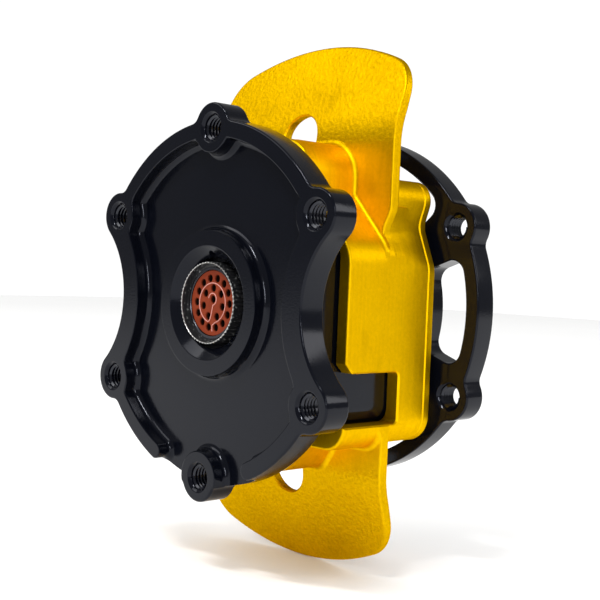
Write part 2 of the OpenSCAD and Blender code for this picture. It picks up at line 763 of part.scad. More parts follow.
module column_flange() {
    color(black) difference() {
        eared_disc(flange_r, flange_y, flange_back_y);
        for (i = [0:ear_count - 1]) along_y(flange_y - 1, flange_back_y + 1)
            rotate(ear_pitch / 2 + i * ear_pitch) slot_outline();
        rod_y(spigot_r + fit_gap, flange_y - 1, flange_back_y);
        rod_y(base_r + fit_gap, base_y, flange_back_y + 1);
        spigot_screw_places() rod_y(screw_r, flange_y - 1, flange_back_y);
        ear_holes(flange_y, flange_back_y);
    }
}

module spigot_screws() {
    socket = 0.9;
    color(steel) spigot_screw_places() difference() {
        union() {
            rod_y(screw_r, flange_y + 0.3, flange_back_y - 0.1);
            cone_y(screw_r, screw_head_r - 0.1, screw_head_y, flange_back_y - 0.1);
        }
        translate([0, flange_back_y - 1.3, 0]) rotate([-90, 0, 0]) cylinder(r = socket, h = 2, $fn = 6);
    }
}

// ---- Connector ----

module contact_rods(r, y0, y1) {
    for (p = contact_places()) translate([p.x, 0, p.y]) rod_y(r, y0, y1);
}

module wheel_shell() {
    color(steel) difference() {
        union() {
            rod_y(shell_r, shell_front_y, shell_back_y);
            rod_y(shell_r + 1.7, panel_back_y, panel_back_y + shell_flange_t);
        }
        rod_y(insert_r, 0, shell_back_y + 1);
    }
}

module wheel_jam_nut() {
    outline = [for (i = [0:2 * knurl_count - 1])
               polar(nut_r - (i % 2) * knurl_depth, i * 180 / knurl_count)];
    color(black) difference() {
        intersection() {
            along_y(nut_drop, panel_y) polygon(outline);
            cone_y(nut_r - nut_chamfer, nut_r + panel_y - nut_drop, nut_drop, panel_y + nut_chamfer);
        }
        rod_y(shell_r, 0, panel_y + 1);
    }
}

module wheel_insert() {
    color(orange) difference() {
        rod_y(insert_r, insert_front_y, shell_back_y);
        contact_rods(contact_hole_r, 0, insert_front_y + contact_drop);
        for (p = contact_places()) translate([p.x, insert_front_y, p.y])
            cone_y(contact_hole_r + hole_chamfer + eps, contact_hole_r, -eps, hole_chamfer);
        contact_rods(contact_r, 0, shell_back_y + 1);
    }
}

module wheel_contacts() {
    depth = 3;
    start = insert_front_y + contact_drop;
    color(brass) difference() {
        contact_rods(contact_r, start, column_face_y);
        contact_rods(socket_r, start - 1, start + depth);
    }
}

module column_shell() {
    color(black) difference() {
        union() {
            rod_y(column_shell_r, column_face_y, flange_back_y - 0.2);
            rod_y(column_flange_r, column_face_y, column_face_y + column_flange_t);
        }
        rod_y(insert_r, column_face_y - 1, flange_back_y);
    }
}

module column_insert() {
    color(orange) difference() {
        rod_y(insert_r, column_face_y, column_insert_back_y);
        contact_rods(contact_r, column_face_y - 1, flange_back_y);
    }
}

module column_contacts() {
    color(brass) contact_rods(contact_r, column_face_y, column_insert_back_y + column_tail);
}

module column_nut() {
    slots = 4;
    color(black) difference() {
        rod_y(column_nut_r, flange_back_y - nut_recess, flange_back_y - 0.2);
        rod_y(column_shell_r, 0, flange_back_y + 1);
        for (i = [0:slots - 1]) rotate([0, i * 360 / slots, 0])
            translate([-0.9, flange_back_y - 1.4, column_nut_r - 1.3]) cube([1.8, 2, 3]);
    }
}

module interface_seal() {
    bead = 0.6;
    color(rubber) about_y() translate([shell_r + bead, column_face_y - bead]) circle(r = bead);
}

wheel_plate();
hub_body();
hub_dowels();
guide_pins();
return_springs();
release_sleeve();
guide_bushes();
retaining_ring();
lock_ball(1);  // lock_ball_1
lock_ball(2);  // lock_ball_2
lock_ball(3);  // lock_ball_3
lock_ball(4);  // lock_ball_4
lock_ball(5);  // lock_ball_5
lock_ball(6);  // lock_ball_6
spigot();
spigot_o_ring();
column_flange();
spigot_screws();
wheel_shell();
wheel_jam_nut();
wheel_insert();
wheel_contacts();
column_shell();
column_insert();
column_contacts();
column_nut();
interface_seal();
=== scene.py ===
import math

import bpy
from mathutils import Matrix, Vector


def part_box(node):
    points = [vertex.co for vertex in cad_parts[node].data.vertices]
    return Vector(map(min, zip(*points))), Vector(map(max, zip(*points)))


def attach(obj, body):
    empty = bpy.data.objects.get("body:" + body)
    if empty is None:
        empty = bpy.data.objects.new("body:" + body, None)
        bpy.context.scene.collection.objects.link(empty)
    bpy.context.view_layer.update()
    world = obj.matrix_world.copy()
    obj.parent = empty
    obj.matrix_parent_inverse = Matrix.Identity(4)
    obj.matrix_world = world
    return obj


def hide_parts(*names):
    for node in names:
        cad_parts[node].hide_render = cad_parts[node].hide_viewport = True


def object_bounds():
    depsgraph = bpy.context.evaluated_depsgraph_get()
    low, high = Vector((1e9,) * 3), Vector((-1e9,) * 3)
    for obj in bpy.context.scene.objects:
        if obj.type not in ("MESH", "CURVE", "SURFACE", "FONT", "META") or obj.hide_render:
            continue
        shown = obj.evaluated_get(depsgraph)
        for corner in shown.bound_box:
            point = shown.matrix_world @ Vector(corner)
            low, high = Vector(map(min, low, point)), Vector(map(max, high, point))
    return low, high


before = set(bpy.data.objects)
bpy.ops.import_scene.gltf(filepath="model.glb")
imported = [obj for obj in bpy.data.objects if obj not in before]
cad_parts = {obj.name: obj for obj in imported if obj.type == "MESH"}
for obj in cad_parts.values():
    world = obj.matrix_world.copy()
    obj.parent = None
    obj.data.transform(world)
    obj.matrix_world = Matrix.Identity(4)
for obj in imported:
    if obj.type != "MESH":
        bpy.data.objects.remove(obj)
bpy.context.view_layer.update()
mm = 0.001
origin = Vector((0, 0))
# shapes are sized in millimetres, and their cutters reach this far past the faces they open
past = 1
print("frame loaded:", len(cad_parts), "nodes")


# small helpers

def deselectAll():
    if bpy.context.object and bpy.context.object.mode != "OBJECT":
        bpy.ops.object.mode_set(mode="OBJECT")
    bpy.ops.object.select_all(action="DESELECT")


def makeActive(piece):
    deselectAll()
    piece.select_set(True)
    bpy.context.view_layer.objects.active = piece


def editAll(piece):
    makeActive(piece)
    bpy.ops.object.mode_set(mode="EDIT")
    bpy.ops.mesh.select_all(action="SELECT")


def polar(radius, angle):
    # angle in degrees, clockwise from +Z as seen from the wheel
    return Vector((radius * math.sin(math.radians(angle)), radius * math.cos(math.radians(angle))))


def arcPoints(centre, start, end, convex, step):
    # points on the arc about centre from start to end, at most step degrees apart; convex arcs run clockwise
    a = math.atan2(start.y - centre.y, start.x - centre.x)
    b = math.atan2(end.y - centre.y, end.x - centre.x)
    sweep = (a - b) % (2 * math.pi) if convex else (b - a) % (2 * math.pi)
    count = max(2, math.ceil(math.degrees(sweep) / step))
    radius = (start - centre).length
    sign = -1 if convex else 1
    turns = [a + sign * sweep * k / count for k in range(count + 1)]
    return [centre + radius * Vector((math.cos(t), math.sin(t))) for t in turns]


def axisArc(radius, start, end, convex=True):
    # an arc about the coupling axis between two angles
    return arcPoints(origin, polar(radius, start), polar(radius, end), convex, 2)


def roundedLoop(points, radii, step=5.0):
    # a clockwise polygon with its corners rounded
    loop = []
    for i, p in enumerate(points):
        p, a, b = Vector(p), Vector(points[i - 1]), Vector(points[(i + 1) % len(points)])
        if radii[i] <= 0:
            loop.append(p)
            continue
        u, v = (a - p).normalized(), (b - p).normalized()
        half = math.acos(max(-1, min(1, u.dot(v)))) / 2
        centre = p + (u + v).normalized() * radii[i] / math.sin(half)
        start, end = p + u * radii[i] / math.tan(half), p + v * radii[i] / math.tan(half)
        convex = (start - centre).cross(end - centre) < 0
        loop += arcPoints(centre, start, end, convex, step)
    return loop


def scored(loop, heights):
    # the same outline with a point added wherever it crosses one of these heights
    made = []
    for i, p in enumerate(loop):
        a = loop[i - 1]
        crossings = [a.lerp(p, (h - a.y) / (p.y - a.y)) for h in heights if (a.y - h) * (p.y - h) < 0]
        made += sorted(crossings, key=lambda q: (q - a).length) + [p]
    return made


def evenLoop(right, radii):
    # a rounded outline from the corners of its right half, top to bottom
    left = [(-x, z) for x, z in reversed(right)]
    return roundedLoop(right + left, radii + radii[::-1])


def cleanLoop(loop, least=0.06):
    return [p for i, p in enumerate(loop) if (p - loop[i - 1]).length > least]


def squared(loop, half):
    # points a hair off the side flats, set exactly on them
    return [Vector((math.copysign(half, p.x), p.y)) if abs(abs(p.x) - half) < 0.001 else p for p in loop]


def grownLoop(loop, distance):
    # a clockwise loop moved outwards by distance; a sharp corner moves by twice that at most
    grown = []
    for i, p in enumerate(loop):
        a, b = (p - loop[i - 1]).normalized(), (loop[(i + 1) % len(loop)] - p).normalized()
        out = Vector((-(a.y + b.y), a.x + b.x)).normalized()
        grown.append(p + out * distance / max(1 / 2, math.sqrt((1 + a.dot(b)) / 2)))
    return grown


def facesOutwards(piece):
    editAll(piece)
    bpy.ops.mesh.normals_make_consistent(inside=False)
    bpy.ops.object.mode_set(mode="OBJECT")
    return piece


def ringOf(name, points, fill="NOTHING"):
    # a closed chain of points, each of them x, y and z
    deselectAll()
    bpy.ops.mesh.primitive_circle_add(vertices=len(points), radius=1, fill_type=fill)
    ring = bpy.context.object
    ring.name = ring.data.name = name
    for v, p in zip(ring.data.vertices, points):
        v.co = [k * mm for k in p]
    return ring


def loopBody(name, sections):
    # sections of (loop, y), all with as many points, bridged in order and closed at both ends
    first, y = sections[0]
    piece = ringOf(name, [(p.x, y, p.y) for p in first], "NGON")
    for loop, y in sections[1:]:
        bpy.ops.object.mode_set(mode="EDIT")
        bpy.ops.mesh.extrude_region_move(TRANSFORM_OT_translate={"value": (0, mm, 0)})
        bpy.ops.object.mode_set(mode="OBJECT")
        for v, p in zip([v for v in piece.data.vertices if v.select], loop):
            v.co = (p.x * mm, y * mm, p.y * mm)
    return facesOutwards(piece)


def prism(name, loop, y0, y1, front=0.0, back=0.0, steps=3):
    # an outline extruded along Y, its two rims rounded by front and back; negative rims flare outwards
    loop = cleanLoop(loop)
    sections = [(grownLoop(loop, -d), y) for d, y in roundedRim(y0, front, steps, 1)]
    sections += [(grownLoop(loop, -d), y) for d, y in reversed(roundedRim(y1, back, steps, -1))]
    return loopBody(name, sections)


def roundedRim(y, size, steps, inward):
    # (inset, y) pairs of a quarter round at one end of a prism; a flare is a plain chamfer
    if size == 0:
        return [(0, y)]
    if size < 0:
        return [(size, y - inward), (size, y), (0, y - inward * size)]
    turns = [math.pi / 2 * k / steps for k in range(steps + 1)]
    return [(size * (1 - math.sin(t)), y + inward * size * (1 - math.cos(t))) for t in turns]


def lathe(name, profile, steps=128, at=(0, 0)):
    # a closed profile of (radius, y) points turned about the coupling axis, or one beside it
    piece = ringOf(name, [(radius + at[0], y, at[1]) for radius, y in profile])
    editAll(piece)
    bpy.ops.mesh.spin(steps=steps, angle=2 * math.pi, center=(at[0] * mm, 0, at[1] * mm), axis=(0, 1, 0))
    bpy.ops.mesh.select_all(action="SELECT")
    bpy.ops.mesh.remove_doubles(threshold=1e-6)
    return facesOutwards(piece)


def joined(name, pieces):
    deselectAll()
    for p in pieces:
        p.select_set(True)
    bpy.context.view_layer.objects.active = pieces[0]
    bpy.ops.object.join()
    pieces[0].name = pieces[0].data.name = name
    return pieces[0]


def applied(piece, kind, **settings):
    makeActive(piece)
    modifier = piece.modifiers.new(kind.lower(), kind)
    for key, value in settings.items():
        setattr(modifier, key, value)
    bpy.ops.object.modifier_apply(modifier=modifier.name)
    return piece


def combine(piece, other, operation):
    applied(piece, "BOOLEAN", object=other, operation=operation, solver="EXACT")
    bpy.data.objects.remove(other)
    return piece


def carve(piece, other):
    return combine(piece, other, "DIFFERENCE")


def tidyFaces(piece, angle=0.3):
    # merges doubled points and faces that lie in one plane
    editAll(piece)
    bpy.ops.mesh.remove_doubles(threshold=4e-6)
    bpy.ops.mesh.dissolve_limited(angle_limit=math.radians(angle), delimit={"NORMAL"})
    bpy.ops.object.mode_set(mode="OBJECT")
    return piece


def softEdges(piece, width):
    applied(piece, "BEVEL", width=width * mm, segments=2, limit_method="ANGLE",
            angle_limit=math.radians(30), use_clamp_overlap=True)
    return smoothFaces(piece)


def smoothFaces(piece, angle=38):
    # smooth shading that keeps the flats flat
    shadeSmooth(piece, angle)
    return applied(piece, "WEIGHTED_NORMAL", keep_sharp=True, weight=80, mode="FACE_AREA")


def shadeSmooth(piece, angle):
    makeActive(piece)
    bpy.ops.object.shade_smooth_by_angle(angle=math.radians(angle))
    return piece


def copiedNode(node, name):
    # a merged copy of a CAD node's mesh, to be finished with soft edges
    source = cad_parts[node]
    piece = bpy.data.objects.new(name, source.data.copy())
    bpy.context.collection.objects.link(piece)
    piece.data.materials.clear()
    return tidyFaces(piece, 0.25)


def place(piece, body, slot, material, *nodes):
    piece.data.materials.clear()
    piece.data.materials.append(material)
    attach(piece, body)
    if nodes:
        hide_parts(*nodes)
    return piece


# the connector's front; lead is how far its pieces stand forward of the solids

connector = {
    "lead": 0.4,
    "insertRadius": 6.6, "holeRadius": 0.78, "holeDepth": 2.4, "holeChamfer": 0.14, "contactRadius": 0.64,
    "outerRing": 5.04, "innerRing": 3.0, "outerCount": 14, "innerCount": 7, "middle": 0.75,
    "lineRadius": 0.11, "loopRadius": 1.2, "edge": 0.1, "fit": 0.02,
    "shellOuter": 7.3, "shellFlange": 9.0, "shellFlangeLength": 1.5, "panel": 3.0, "rimLead": 0.25,
    "nutRadius": 8.3, "nutBore": 7.98, "nutEdge": 0.22, "knurls": 60, "knurlDepth": 0.24,
}


def connectorFace(node):
    # where this node's piece begins in the scene, in metres
    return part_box(node)[0][1] - connector["lead"] * mm


# materials

class Value:
    # one output socket; sums and products of values add Math nodes
    def __init__(self, finish, socket):
        self.finish = finish
        self.socket = socket

    def math(self, operation, first, second=None):
        inputs = {0: first} if second is None else {0: first, 1: second}
        return self.finish.node("ShaderNodeMath", {"operation": operation}, inputs)

    def __add__(self, other):
        return self.math("ADD", self, other)

    def __sub__(self, other):
        return self.math("SUBTRACT", self, other)

    def __rsub__(self, other):
        return self.math("SUBTRACT", other, self)

    def __mul__(self, other):
        return self.math("MULTIPLY", self, other)

    def __abs__(self):
        return self.math("ABSOLUTE", self)


class Finish:
    # one material and its node tree
    def __init__(self, name):
        self.material = bpy.data.materials.new(name)
        self.material.use_nodes = True
        self.tree = self.material.node_tree
        self.shader = self.tree.nodes["Principled BSDF"]
        self.place = self.node("ShaderNodeTexCoord", {}, {}, "Object")

    def node(self, kind, settings, inputs, output=0):
        made = self.tree.nodes.new(kind)
        for key, value in settings.items():
            setattr(made, key, value)
        for key, value in inputs.items():
            self.feed(made.inputs[key], value)
        return Value(self, made.outputs[output])

    def feed(self, socket, value):
        if isinstance(value, Value):
            self.tree.links.new(value.socket, socket)
        else:
            socket.default_value = value

    def noise(self, scale, detail=2.0, stretch=None):
        where = self.place
        if stretch:
            where = self.node("ShaderNodeMapping", {}, {"Vector": where, "Scale": stretch})
        inputs = {"Vector": where, "Scale": scale, "Detail": detail}
        return self.node("ShaderNodeTexNoise", {}, inputs, "Fac")

    def blend(self, mask, first, second):
        # sockets 6 and 7 are the Mix node's two colours, and output 2 is its colour
        return self.node("ShaderNodeMix", {"data_type": "RGBA"}, {"Factor": mask, 6: first, 7: second}, 2)

    def ramp(self, value, low, high):
        # 0 below low and 1 above high
        return self.node("ShaderNodeMapRange", {}, {"Value": value, "From Min": low, "From Max": high})

    def split(self, axis):
        return self.node("ShaderNodeSeparateXYZ", {}, {"Vector": self.place}, axis)

    def bump(self, height, strength, distance):
        inputs = {"Height": height, "Strength": strength, "Distance": distance}
        return self.node("ShaderNodeBump", {}, inputs)

    def set(self, **sockets):
        for key, value in sockets.items():
            self.feed(self.shader.inputs[key.replace("_", " ")], value)
        return self.material


blackFinish = {
    "dark": (0.0011, 0.0015, 0.0032, 1), "light": (0.0024, 0.0028, 0.0050, 1), "sheen": (0.85, 0.88, 1.0, 1),
    "roughness": 0.09, "cloudRoughness": 0.05, "grainRoughness": 0.04,
    "specular": 0.2, "threadSpecular": 0.45, "cloudShare": 0.7,
    "cloudScale": 60, "grainScale": 2400, "turningScale": 900, "turning": (1, 0.02, 1), "turningHeight": 0.6,
    "bump": 0.05, "bumpHeight": 0.0002,
}


def blackAnodised(name="blackAnodised", turned=False):
    b = blackFinish
    f = Finish(name)
    clouds = f.noise(b["cloudScale"], 4)
    grain = f.noise(b["grainScale"], 2)
    height = grain
    if turned:
        height = grain + f.noise(b["turningScale"], 2, b["turning"]) * b["turningHeight"]
    colour = f.blend(clouds * b["cloudShare"] + grain * (1 - b["cloudShare"]), b["dark"], b["light"])
    rough = clouds * b["cloudRoughness"] + grain * b["grainRoughness"] + b["roughness"]
    return f.set(Base_Color=colour, Roughness=rough, Metallic=0.0, Specular_Tint=b["sheen"],
                 Specular_IOR_Level=b["threadSpecular"] if turned else b["specular"],
                 Normal=f.bump(height, b["bump"], b["bumpHeight"]))


goldFinish = {
    "deep": (0.62, 0.345, 0.0006, 1), "bright": (0.96, 0.59, 0.0015, 1), "scuffAndShade": (0.38, 0.20, 0.0, 1),
    "edgeTint": (1.0, 0.80, 0.12, 1), "lowerShadeShare": 0.3, "scuffShare": 0.28,
    "blastedRoughness": 0.40, "machinedRoughness": 0.41, "lineRoughness": 0.12,
    "cloudScale": 55, "grainScale": 1300, "fineScale": 4200, "lineScale": 1700, "scuffScale": 160,
    "wingHeight": 33.6, "wingBlend": 3.0, "lowerStart": -30.0, "lowerEnd": -36.0,
    "bump": 0.45, "bumpHeight": 0.0003,
}


def goldAnodised():
    # blasted wings with a visible grain, fine machining lines on the body, and painted shade on the lower
    # wing
    g = goldFinish
    f = Finish("goldAnodised")
    z = f.split("Z")
    onWing = f.ramp(abs(z), (g["wingHeight"] - g["wingBlend"]) * mm, g["wingHeight"] * mm)
    onBody = 1 - onWing
    lower = f.ramp(z, g["lowerStart"] * mm, g["lowerEnd"] * mm)
    grain = f.noise(g["grainScale"], 3)
    fine = f.noise(g["fineScale"], 2)
    clouds = f.noise(g["cloudScale"], 5)
    streaks = f.noise(g["lineScale"], 3, (1, 1, 0.02))
    rings = f.noise(g["lineScale"], 3, (0.02, 1, 0.02))
    lines = streaks * 0.6 + rings * 0.4
    marks = onWing * grain + onBody * (lines * 0.5 + grain * 0.5)
    tone = f.ramp(clouds * 0.5 + marks * 0.5, 0.25, 0.75)
    # painted shade: towards the bottom of the lower wing the colour is blended towards the darker scuff
    # colour
    colour = f.blend(lower * g["lowerShadeShare"], f.blend(tone, g["deep"], g["bright"]), g["scuffAndShade"])
    scuffs = f.ramp(f.noise(g["scuffScale"], 8, (1, 1, 0.35)), 0.60, 0.72)
    colour = f.blend(scuffs * g["scuffShare"], colour, g["scuffAndShade"])
    base = onWing * (g["blastedRoughness"] - g["machinedRoughness"]) + g["machinedRoughness"]
    height = onWing * grain * (lower * 1.2 + 0.8) + fine * 0.25 + onBody * (lines * 0.2 + grain * 0.2)
    return f.set(Base_Color=colour, Roughness=base + lines * g["lineRoughness"], Metallic=1.0,
                 Specular_Tint=g["edgeTint"], Normal=f.bump(height, g["bump"], g["bumpHeight"]))


def metal(name, dark, light, roughness, stretch=None, metallic=1.0):
    # fine marks, drawn out where the piece was turned; roughness is near the middle of its range
    f = Finish(name)
    marks = f.noise(900, 3, stretch)
    clouds = f.noise(120, 3)
    return f.set(Base_Color=f.blend(clouds, dark, light), Roughness=marks * 0.14 + (roughness - 0.06),
                 Metallic=metallic, Normal=f.bump(marks, 0.05, 0.0001))


insertFinish = {
    "face": (0.12, 0.015, 0.004, 1), "faceLight": (0.21, 0.032, 0.009, 1),
    "inside": (0.008, 0.003, 0.002, 1), "holeShadeFrom": 0.2, "holeShadeTo": 0.6,
}


def mouldedInsert():
    # orange resin, darkened by painted shade inside the contact holes
    n = insertFinish
    f = Finish("insertOrange")
    grain = f.noise(1800, 3)
    clouds = f.noise(260, 3)
    front = connectorFace("wheel_insert")
    # painted shade: the colour goes near black with depth into the contact holes
    holeShadeMask = f.ramp(f.split("Y"), front + n["holeShadeFrom"] * mm, front + n["holeShadeTo"] * mm)
    face = f.blend(clouds, n["face"], n["faceLight"])
    return f.set(Base_Color=f.blend(holeShadeMask, face, n["inside"]), Roughness=grain * 0.15 + 0.45,
                 Specular_IOR_Level=0.1, Normal=f.bump(grain, 0.08, 0.0001))


nutFinish = {
    "plating": (0.01, 0.01, 0.011, 1), "bare": (0.62, 0.62, 0.60, 1), "wornFrom": 0.3, "wornTo": 0.2,
}


def wornLip():
    # black plating, worn to bare metal on the nut's front lip and in a few specks elsewhere
    n = nutFinish
    f = Finish("nutBlack")
    grain = f.noise(2500, 3)
    front = connectorFace("wheel_jam_nut")
    worn = f.ramp(f.split("Y") + grain * 0.0001, front + n["wornFrom"] * mm, front + n["wornTo"] * mm)
    specks = f.ramp(f.noise(1500, 2), 0.62, 0.7)
    bare = worn.math("MAXIMUM", worn, specks * 0.35)
    return f.set(Base_Color=f.blend(bare, n["plating"], n["bare"]), Roughness=grain * 0.2 + 0.25,
                 Metallic=bare, Specular_IOR_Level=0.4)


def rubber():
    f = Finish("sealRubber")
    grain = f.noise(2200, 2)
    return f.set(Base_Color=f.blend(grain, (0.012, 0.012, 0.012, 1), (0.03, 0.03, 0.03, 1)),
                 Roughness=grain * 0.2 + 0.55, Normal=f.bump(grain, 0.1, 0.0001))


def paleFloor():
    f = Finish("paleFloor")
    clouds = f.noise(3, 2)
    return f.set(Base_Color=f.blend(clouds, (0.90, 0.90, 0.895, 1), (0.93, 0.93, 0.925, 1)),
                 Roughness=clouds * 0.1 + 0.6, Specular_IOR_Level=0.2)


black = blackAnodised()
blackTurned = blackAnodised("blackTurned", turned=True)
gold = goldAnodised()
steel = metal("brightSteel", (0.5, 0.51, 0.53, 1), (0.66, 0.67, 0.69, 1), 0.26, (1, 0.05, 1))
springSteel = metal("springSteel", (0.3, 0.31, 0.33, 1), (0.45, 0.46, 0.48, 1), 0.32)
blackSteel = metal("blackSteel", (0.02, 0.02, 0.022, 1), (0.045, 0.045, 0.048, 1), 0.38, metallic=0.6)
ballSteel = metal("ballSteel", (0.7, 0.71, 0.73, 1), (0.78, 0.79, 0.8, 1), 0.1)
bronze = metal("bronze", (0.45, 0.28, 0.1, 1), (0.6, 0.4, 0.16, 1), 0.32)
contactGold = metal("contactGold", (0.7, 0.48, 0.15, 1), (0.9, 0.66, 0.25, 1), 0.25)
shellBlack = metal("shellBlack", (0.012, 0.012, 0.013, 1), (0.03, 0.03, 0.034, 1), 0.34, metallic=0.3)
shellEdge = metal("shellEdge", (0.03, 0.03, 0.035, 1), (0.07, 0.07, 0.08, 1), 0.24)
nutBlack = wornLip()
insertOrange = mouldedInsert()
guidePink = Finish("guidePink").set(Base_Color=(0.52, 0.21, 0.17, 1), Roughness=0.5)
sealRubber = rubber()
print("materials made")


# the bolt circle, its ears and their threaded holes, shared by the plate and the flange

bolts = {
    "circle": 35.0, "count": 6, "earRadius": 5.0, "earFillet": 2.5, "threadRadius": 2.5, "coreRadius": 2.1,
    "mouthRadius": 3.05, "sink": 0.6, "edge": 0.16, "ease": 0.08,
    "pitch": 0.8, "threadStart": 0.55, "threadEnds": 1.2, "threadSkin": 0.02,
}
earPitch = 360 / bolts["count"]
earAngles = [i * earPitch for i in range(bolts["count"])]


def nodeSpan(node):
    low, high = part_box(node)
    return low[1] / mm, high[1] / mm


def earedLoop(radius, scallop=0):
    # a disc with six ears, clockwise; a scallop centred this far out joins the two ears on each side
    loop = []
    circle, earRadius, filletRadius = bolts["circle"], bolts["earRadius"], radius + bolts["earFillet"]
    reach = earRadius + bolts["earFillet"]
    cosine = (circle ** 2 + filletRadius ** 2 - reach ** 2) / (2 * circle * filletRadius)
    swing = math.degrees(math.acos(cosine))
    for i, angle in enumerate(earAngles):
        ear = polar(circle, angle)
        side = Vector((scallop if i < bolts["count"] // 2 else -scallop, 0))
        if scallop and i in (2, 5):
            start = ear + earRadius * (side - ear).normalized()
        else:
            centre = polar(filletRadius, angle - swing)
            start = ear + earRadius * (centre - ear).normalized()
            loop += arcPoints(centre, polar(radius, angle - swing), start, False, 8)
        if scallop and i in (1, 4):
            end = ear + earRadius * (side - ear).normalized()
            loop += arcPoints(ear, start, end, True, 6)
            following = polar(circle, angle + earPitch)
            landing = following + earRadius * (side - following).normalized()
            loop += arcPoints(side, end, landing, False, 2)
        else:
            centre = polar(filletRadius, angle + swing)
            end = ear + earRadius * (centre - ear).normalized()
            loop += arcPoints(ear, start, end, True, 6)
            loop += arcPoints(centre, end, polar(radius, angle + swing), False, 8)
            loop += axisArc(radius, angle + swing, angle + earPitch - swing)
    return loop


def earHoles(y0, y1):
    # stepped cutters: a countersink with a broken edge at each face, the thread's outer radius between
    mouth, core = bolts["mouthRadius"], bolts["threadRadius"]
    sink, edge, ease = bolts["sink"], bolts["edge"], bolts["ease"]
    half = [(0, -past), (mouth + 3.5 * edge, -past), (mouth + edge + 0.02, -0.001), (mouth, edge * 0.6),
            (core + ease, sink - ease), (core, sink + 0.05)]
    profile = [(r, y0 + y) for r, y in half] + [(r, y1 - y) for r, y in reversed(half)]
    return joined("earHoles", [lathe("hole", profile, 40, polar(bolts["circle"], a)) for a in earAngles])


def threads(name, y0, y1):
    # helical V threads, one modelled and copied into each ear
    pitch = bolts["pitch"]
    turns = int((y1 - y0 - bolts["threadEnds"]) / pitch)
    inner, outer = bolts["coreRadius"], bolts["threadRadius"] + bolts["threadSkin"]
    start = y0 + bolts["threadStart"]
    # (radius, share of the pitch) round one V
    vee = [(outer, 0), (inner, 0.34), (inner, 0.46), (outer, 0.8)]
    first = ringOf("thread", [(radius, start + pitch * share, 0) for radius, share in vee])
    applied(first, "SCREW", axis="Y", angle=2 * math.pi * turns, screw_offset=pitch * turns * mm,
            steps=24 * turns, render_steps=24 * turns, use_merge_vertices=False)
    editAll(first)
    bpy.ops.mesh.region_to_loop()
    bpy.ops.mesh.fill_holes(sides=0)
    facesOutwards(first)
    pieces = []
    for angle in earAngles:
        at = polar(bolts["circle"] * mm, angle)
        mesh = first.data.copy()
        mesh.transform(Matrix.Translation((at.x, 0, at.y)))
        one = bpy.data.objects.new("thread", mesh)
        bpy.context.collection.objects.link(one)
        pieces.append(one)
    bpy.data.objects.remove(first)
    return shadeSmooth(joined(name, pieces), 40)


# wheel plate

wheelPlate = {
    "thickness": 6.0, "radius": 36.5, "scallop": 46.5, "outerRound": 0.45,
    "pocketDepth": 3.3, "rim": 3.5, "sideRim": 5.4, "gapAngle": 24.7, "floorFillet": 1.35, "rimEdge": 0.32,
    "earMargin": 0.1, "earBlend": 1.6, "islandGap": 0.3,
    "ringRadius": 14.7, "ringFace": 0.4, "ringFillet": 1.5, "ringMouth": 11.3, "ringConeDepth": 1.6,
    "bore": 9.2, "bossRadius": 12.05, "bossDepth": 3.0, "notchRadius": 1.0, "notchLift": 0.3,
}


def rayToCircle(ray, centre, radius):
    along = ray.dot(centre)
    off = centre.length_squared - along ** 2
    if along <= 0 or off >= radius ** 2:
        return None
    return along - math.sqrt(radius ** 2 - off)


def pocketRadius(angle, shrink):
    # the pocket is star shaped: its edge is the nearest limit in each direction, blended smoothly
    w = wheelPlate
    toEar = polar(bolts["circle"], earPitch) - Vector((w["scallop"], 0))
    scallopRadius = toEar.length - bolts["earRadius"]
    ray = polar(1, angle)
    limits = [w["radius"] - w["rim"] - shrink]
    reach = scallopRadius + w["sideRim"] + shrink
    for side in (-1, 1):
        limits.append(rayToCircle(ray, Vector((side * w["scallop"], 0)), reach))
    reach = bolts["earRadius"] + w["earMargin"] + shrink
    for ear in earAngles:
        # the lowest ear is left as an island in the pocket's gap
        if ear != 180:
            limits.append(rayToCircle(ray, polar(bolts["circle"], ear), reach))
    sharp = w["earBlend"]
    return -math.log(sum(math.exp(-limit * sharp) for limit in limits if limit)) / sharp


def pocketLoop(shrink=0.0):
    # one turn from one rim end to the other, both ends rounded, then out through the gap
    w = wheelPlate
    step = 1.5
    start, end = 180 + w["gapAngle"], 540 - w["gapAngle"]
    count = round((end - start) / step)
    angles = [start + (end - start) * k / count for k in range(count + 1)]
    wall = [polar(pocketRadius(angle, shrink), angle) for angle in angles]
    rimMiddle = w["radius"] - w["rim"] / 2
    outside = w["radius"] + 2 * bolts["earRadius"]
    half = w["rim"] / 2 + shrink
    caps = []
    for angle in (end, start):
        centre = polar(rimMiddle, angle)
        inner, outer = centre - half * polar(1, angle), centre + half * polar(1, angle)
        cap = arcPoints(centre, inner, outer, angle == start, 12)[1:]
        caps.append(cap + [polar(outside, angle)])
    floorSide = arcPoints(origin, polar(outside, end - 360), polar(outside, start), True, 6)[1:-1]
    return wall + caps[0] + floorSide + caps[1][::-1]


def filletSteps(size, steps=5):
    # (inset, rise) pairs from a wall down to a floor
    turns = [math.pi / 2 * k / steps for k in range(steps + 1)]
    return [(size * (1 - math.cos(t)), size * (1 - math.sin(t))) for t in turns]


def postFoot(radius, faceY, fillet):
    # (radius, y) of a post left standing in the pocket: its broken edge, its wall and the fillet at its foot
    edge, floorY = wheelPlate["rimEdge"], wheelPlate["pocketDepth"]
    points = [(radius - edge, faceY), (radius - edge * 0.3, faceY + edge * 0.3), (radius, faceY + edge)]
    points += [(radius + inset, floorY - rise) for inset, rise in filletSteps(fillet)]
    return points + [(radius + fillet, floorY + past), (0, floorY + past)]


